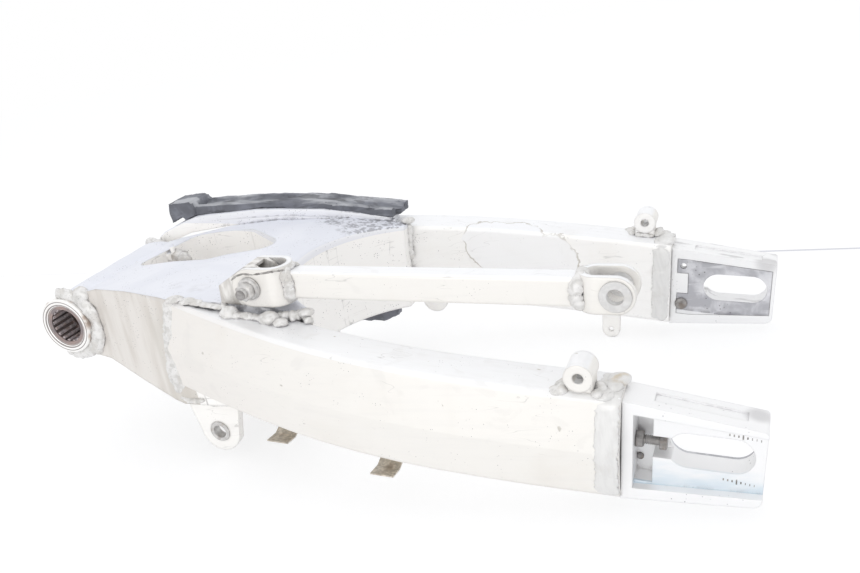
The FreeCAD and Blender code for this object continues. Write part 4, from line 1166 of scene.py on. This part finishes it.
def threaded_rod(mesh, radius, start, axis, length, pitch, depth, segments=18):
    """A rod along an axis with a screw thread turned on it."""
    turns = max(1, round(length / pitch))
    spin = axis.to_track_quat("Z", "Y").to_matrix().to_4x4()
    place = Matrix.Translation(start) @ spin
    root = radius - depth
    profile = [(root, 0.0), (radius, pitch * 0.42), (radius, pitch * 0.58), (root, pitch)]
    verts = [bmesh.ops.create_vert(mesh, co=(r, 0.0, z))["vert"][0] for r, z in profile]
    edges = [mesh.edges.new(pair) for pair in zip(verts, verts[1:])]
    bmesh.ops.spin(mesh, geom=verts + edges, cent=(0, 0, 0), axis=(0, 0, 1), dvec=(0, 0, pitch / segments),
                   angle=2 * math.pi * turns, steps=segments * turns, use_merge=False)
    made = [v for v in mesh.verts if v.is_valid]
    core = bmesh.ops.create_cone(mesh, cap_ends=True, segments=segments, radius1=radius - depth * 0.7,
                                 radius2=radius - depth * 0.7, depth=length + pitch,
                                 matrix=Matrix.Translation((0, 0, (length + pitch) / 2)))
    bmesh.ops.transform(mesh, matrix=place, verts=made + core["verts"])


def hex_piece(mesh, across, start, axis, length, chamfer=0.16):
    """A hexagon with its corners turned off at both ends."""
    spin = axis.to_track_quat("Z", "Y").to_matrix().to_4x4()
    place = Matrix.Translation(start) @ spin
    corner = across / math.sqrt(3.0)
    made = bmesh.ops.create_cone(mesh, cap_ends=True, segments=6, radius1=corner, radius2=corner,
                                 depth=length, matrix=place @ Matrix.Translation((0, 0, length / 2)))
    ends = [e for e in {e for v in made["verts"] for e in v.link_edges}
            if abs((e.verts[1].co - e.verts[0].co).normalized().dot(axis)) < 0.1]
    bmesh.ops.bevel(mesh, geom=ends, offset=across * chamfer * 0.5, offset_type="OFFSET", segments=2,
                    profile=0.5, affect="EDGES", material=-1, clamp_overlap=True)


class SWINGARM_OT_adjusters(bpy.types.Operator):
    """Make the chain adjuster bolts with threads, and their lock nuts"""

    bl_idname = "swingarm.adjusters"
    bl_label = "Chain adjusters"

    def execute(self, context):
        s = sizes()
        along_x = (at(1, 0, 0) - at(0, 0, 0)).normalized()
        for name, side in SIDES:
            y = side * ADJUSTER_Y
            mesh = bmesh.new()
            threaded_rod(mesh, 0.00298, at(WELD_X + 1, y, 1.0), along_x, 0.0209, s.thread_pitch,
                         s.thread_depth)
            hex_piece(mesh, 0.010, at(SLOT_FRONT - 5.0, y, 1.0), along_x, 0.0045)
            keep(mesh, "adjuster_screw_" + name, "tarnished_steel", "frame", ("adjuster_bolt_" + name,))
            mesh = bmesh.new()
            hex_piece(mesh, 0.010, at(POCKET_X, y, 1.0), along_x, 0.005)
            keep(mesh, "adjuster_nut_" + name, "tarnished_steel", "frame", ("lock_nut_" + name,))
        return {"FINISHED"}


class SWINGARM_OT_torque_fastening(bpy.types.Operator):
    """Make the torque arm's flanged nut and the bolt's threaded tip"""

    bl_idname = "swingarm.torque_fastening"
    bl_label = "Torque arm nut"

    def execute(self, context):
        s = sizes()
        outward = Vector((0, -1, 0))
        mesh = bmesh.new()
        centre = at(BOLT.x, CLEVIS_FACE - WASHER, BOLT.z)
        flange = bmesh.ops.create_cone(mesh, cap_ends=True, segments=48, radius1=0.0084, radius2=0.0070,
                                       depth=0.0015, matrix=Matrix.Translation(centre + outward * 0.00075)
                                       @ outward.to_track_quat("Z", "Y").to_matrix().to_4x4())
        rims = [e for e in {e for v in flange["verts"] for e in v.link_edges} if len(e.link_faces) == 2
                and any(len(f.verts) > 4 for f in e.link_faces)]
        bmesh.ops.bevel(mesh, geom=rims, offset=0.0003, offset_type="OFFSET", segments=2, profile=0.5,
                        affect="EDGES", material=-1, clamp_overlap=True)
        hex_piece(mesh, 0.012, centre + outward * 0.0014, outward, 0.0060)
        keep(mesh, "flanged_nut", "bright_steel", "frame", ("torque_nut",))
        mesh = bmesh.new()
        threaded_rod(mesh, 0.00398, centre + outward * 0.0072, outward, 0.0030, s.thread_pitch,
                     s.thread_depth, 24)
        keep(mesh, "bolt_tip_thread", "tarnished_steel", "frame")
        return {"FINISHED"}


def worn_copy(node, name, finish, depth, fine, cut_step, shape):
    """A worn copy of a node: cut into short lengths, reshaped, then its skin moved in and out."""
    mesh = merged_copy(node)
    bmesh.ops.dissolve_limit(mesh, angle_limit=math.radians(3), verts=mesh.verts, edges=mesh.edges)
    low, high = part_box(node)
    for axis in range(3):
        normal = Vector((axis == 0, axis == 1, axis == 2))
        place = low[axis] + cut_step
        while place < high[axis]:
            point = Vector((0, 0, 0))
            point[axis] = place
            everything = list(mesh.verts) + list(mesh.edges) + list(mesh.faces)
            bmesh.ops.bisect_plane(mesh, geom=everything, dist=DOUBLES, plane_co=point, plane_no=normal)
            place += cut_step
    bmesh.ops.triangulate(mesh, faces=mesh.faces)
    bmesh.ops.smooth_vert(mesh, verts=mesh.verts, factor=0.2, use_axis_x=True, use_axis_y=True,
                          use_axis_z=True)
    to_level = LAID_DOWN.inverted()
    for v in mesh.verts:
        v.co = LAID_DOWN @ shape(to_level @ v.co)
    mesh.normal_update()
    for v in mesh.verts:
        coarse = noise.noise(Vector((v.co.x * 28.0, v.co.y * 110.0, v.co.z * 110.0)))
        torn = max(0.0, noise.noise(Vector((v.co.x * 60.0, v.co.y * 200.0, v.co.z * 200.0 + 9.0))) - 0.25)
        small = noise.noise(v.co * 420.0)
        v.co += v.normal * (-abs(coarse) * depth - torn * depth * 2.0 - abs(small) * fine)
    bmesh.ops.remove_doubles(mesh, verts=mesh.verts, dist=1e-5)
    return keep(mesh, name, finish, "frame", (node,))


def slider_shape(p):
    """A square front block, a thin strip behind it with a chain groove, and a split rear end."""
    side = p.y - (76.0 + (p.x - 16.0) * 0.107)
    if p.x <= 41.0:
        low, high = level_with(HOOK_DRAWN_FOOT, p.x), level_with(HOOK_DRAWN_HEAD, p.x)
        share = (p.z - low) / (high - low)
        p.x = 17.0 + max(0.0, p.x - 12.0) * 0.965
        low, high = level_with(HOOK_FOOT, p.x), level_with(HOOK_HEAD, p.x)
    else:
        share = (p.z - level_with(SLIDER_DRAWN, p.x)) / 13.0
        p.x += 4.0 * max(0.0, 1.0 - (p.x - 41.0) / 59.0)
        low, high = level_with(SLIDER_FOOT, p.x), level_with(SLIDER_HEAD, p.x)
        if share > 0.5:
            groove = math.exp(-((side - 15.0) / 6.0) ** 2)
            high -= 2.4 * groove * (0.7 + 0.3 * noise.noise(Vector((p.x * 0.05, 0.0, 7.0))))
    p.z = low + (high - low) * share
    if p.x > 228.0 and side > 9.0:
        p.x += 4.0
    return p


def strip_shape(p):
    """The torn strip hangs lower and reaches further forward."""
    share = max(0.0, min(1.0, (-26.0 - p.z) / 12.0))
    p.x = 240.0 + (p.x - 240.0) * (1.0 + 0.16 * share)
    p.z -= 6.5 * share + 2.0 * share * noise.noise(Vector((p.x * 0.12, 0.0, 3.0)))
    return p


class SWINGARM_OT_rubber(bpy.types.Operator):
    """Make the worn chain slider and the ragged rub strip"""

    bl_idname = "swingarm.rubber"
    bl_label = "Rubber"

    def execute(self, context):
        worn_copy("chain_slider", "scored_slider", "worn_rubber", 0.0012, 0.0006, 0.0028, slider_shape)
        worn_copy("lower_rub_strip", "ragged_strip", "worn_rubber", 0.0030, 0.0012, 0.003, strip_shape)
        return {"FINISHED"}


class SWINGARM_OT_slot_marks(bpy.types.Operator):
    """Cut the rows of marks beside the axle slots"""

    bl_idname = "swingarm.slot_marks"
    bl_label = "Slot marks"

    def execute(self, context):
        gap = sizes().tick_gap / MM
        count, long_one, thick_ones = 8, 3, 5
        for name, side in SIDES:
            mesh = bmesh.new()
            for start, height, lean in ((546.5, 14.9, -0.10), (544.5, -16.4, -0.10)):
                for i in range(count):
                    x = start + gap * i
                    tall = 3.4 if i == long_one else 1.5
                    thick = 0.8 if i < thick_ones else 0.4
                    size = Matrix.Diagonal((thick * MM, 0.16 * MM, tall * MM, 1.0))
                    place = Matrix.Translation(at(x, side * (END_OUT - 7.0 + 0.02), height + lean * gap * i))
                    bmesh.ops.create_cube(mesh, size=1.0, matrix=place @ Matrix.Rotation(TIP, 4, "Y") @ size)
            keep(mesh, "slot_marks_" + name, "mark_and_shadow_black", "frame")
        return {"FINISHED"}


class SWINGARM_OT_stage(bpy.types.Operator):
    """Set the floor, the soft lights and the camera"""

    bl_idname = "swingarm.stage"
    bl_label = "Stage"

    def execute(self, context):
        low, high = CAD_BOX
        mesh = bmesh.new()
        bmesh.ops.create_grid(mesh, x_segments=1, y_segments=1, size=3.0,
                              matrix=Matrix.Translation((low.x, high.y, low.z)))
        data = bpy.data.meshes.new("floor")
        mesh.to_mesh(data)
        mesh.free()
        floor = bpy.data.objects.new("floor", data)
        data.materials.append(finish_of("floor_paper"))
        context.scene.collection.objects.link(floor)
        self.draw_backdrop_line(context)
        self.light_world(context)
        self.add_lamp(context, "overhead", (0.15, 0.25, 1.5), 1.8, 3.5, (0.96, 0.97, 1.0))
        self.add_lamp(context, "front", (0.3, -1.6, 0.16), 1.2, 5.6, (1.0, 0.985, 0.955))
        self.place_camera(context)
        context.scene.view_settings.view_transform = "Standard"
        return {"FINISHED"}

    def draw_backdrop_line(self, context):
        """A thin ribbon where the backdrop meets the floor, seen beside the part."""
        low = CAD_BOX[0]
        mesh = bmesh.new()
        start, end = Vector((-0.75, 0.411, low.z + 0.0005)), Vector((0.9, 0.276, low.z + 0.0005))
        ribbon = bmesh.ops.create_grid(mesh, x_segments=24, y_segments=1, size=0.5)
        for v in ribbon["verts"]:
            v.co = start.lerp(end, v.co.x + 0.5) + Vector((0, (v.co.y + 0.5) * 0.0036, 0))
        data = bpy.data.meshes.new("backdrop_line")
        mesh.to_mesh(data)
        mesh.free()
        line = bpy.data.objects.new("backdrop_line", data)
        data.materials.append(finish_of("backdrop_line"))
        context.scene.collection.objects.link(line)

    def light_world(self, context):
        world = bpy.data.worlds.new("studio")
        context.scene.world = world
        world.use_nodes = True
        tree = world.node_tree
        back = tree.nodes["Background"]
        back.inputs["Color"].default_value = (0.985, 0.99, 1.0, 1.0)
        back.inputs["Strength"].default_value = 0.90
        white = tree.nodes.new("ShaderNodeBackground")
        white.inputs["Color"].default_value = (1.0, 1.0, 1.0, 1.0)
        path = tree.nodes.new("ShaderNodeLightPath")
        either = tree.nodes.new("ShaderNodeMath")
        either.operation = "MAXIMUM"
        tree.links.new(path.outputs["Is Camera Ray"], either.inputs[0])
        tree.links.new(path.outputs["Is Glossy Ray"], either.inputs[1])
        both = tree.nodes.new("ShaderNodeMixShader")
        tree.links.new(either.outputs[0], both.inputs[0])
        tree.links.new(back.outputs[0], both.inputs[1])
        tree.links.new(white.outputs[0], both.inputs[2])
        tree.links.new(both.outputs[0], tree.nodes["World Output"].inputs["Surface"])

    def add_lamp(self, context, name, place, size, power, colour):
        lamp = bpy.data.lights.new(name, "AREA")
        lamp.energy = power
        lamp.color = colour
        lamp.shape = "DISK"
        lamp.size = size
        holder = bpy.data.objects.new(name, lamp)
        context.scene.collection.objects.link(holder)
        holder.location = place
        aim = Vector((0.27, 0.0, -0.02)) - Vector(place)
        holder.rotation_euler = aim.to_track_quat("-Z", "Y").to_euler()

    def place_camera(self, context):
        flat = math.cos(CAMERA_DOWN)
        look = Vector((math.sin(CAMERA_TURN) * flat, math.cos(CAMERA_TURN) * flat, -math.sin(CAMERA_DOWN)))
        right = Vector((math.cos(CAMERA_TURN), -math.sin(CAMERA_TURN), 0.0))
        over = right.cross(look)
        c, s = math.cos(CAMERA_ROLL), math.sin(CAMERA_ROLL)
        across, upward = right * c + over * s, over * c - right * s
        turn = Matrix((across, upward, -look)).transposed().to_4x4()
        camera = bpy.data.cameras.new("camera")
        camera.sensor_width = SENSOR
        camera.lens = SENSOR * LENS_SHARE
        camera.clip_start, camera.clip_end = 0.01, 50.0
        holder = bpy.data.objects.new("camera", camera)
        context.scene.collection.objects.link(holder)
        tipped_over = Matrix.Rotation(TIP, 4, "Y")
        holder.matrix_world = Matrix.Translation(LAID_DOWN @ CAMERA_AT) @ tipped_over @ turn
        context.scene.camera = holder


STEPS = (SWINGARM_OT_finish_metal, SWINGARM_OT_pivot_collar, SWINGARM_OT_shoulder,
         SWINGARM_OT_window_corner, SWINGARM_OT_grease_fitting, SWINGARM_OT_plate_screws,
         SWINGARM_OT_pivot_welds, SWINGARM_OT_seam_welds, SWINGARM_OT_inner_notch, SWINGARM_OT_rear_welds,
         SWINGARM_OT_small_welds, SWINGARM_OT_torque_welds, SWINGARM_OT_adjusters,
         SWINGARM_OT_torque_fastening, SWINGARM_OT_rubber, SWINGARM_OT_slot_marks, SWINGARM_OT_stage)


class SWINGARM_PT_panel(bpy.types.Panel):
    """Lists the steps that dress the swingarm"""

    bl_label = "Swingarm"
    bl_idname = "SWINGARM_PT_panel"
    bl_space_type = "VIEW_3D"
    bl_region_type = "UI"
    bl_category = "Swingarm"

    def draw(self, context):
        for step in STEPS:
            self.layout.operator(step.bl_idname)
        for group in (context.scene.swingarm_sizes, context.scene.swingarm_colours):
            for name in group.__annotations__:
                self.layout.prop(group, name)


CLASSES = (SwingarmColours, SwingarmSizes, *STEPS, SWINGARM_PT_panel)


def register():
    for made in CLASSES:
        bpy.utils.register_class(made)
    bpy.types.Scene.swingarm_colours = bpy.props.PointerProperty(type=SwingarmColours)
    bpy.types.Scene.swingarm_sizes = bpy.props.PointerProperty(type=SwingarmSizes)


def unregister():
    del bpy.types.Scene.swingarm_sizes
    del bpy.types.Scene.swingarm_colours
    for made in reversed(CLASSES):
        bpy.utils.unregister_class(made)


def main():
    register()
    for step in STEPS:
        group, name = step.bl_idname.split(".")
        getattr(getattr(bpy.ops, group), name)()


if __name__ == "__main__":
    main()
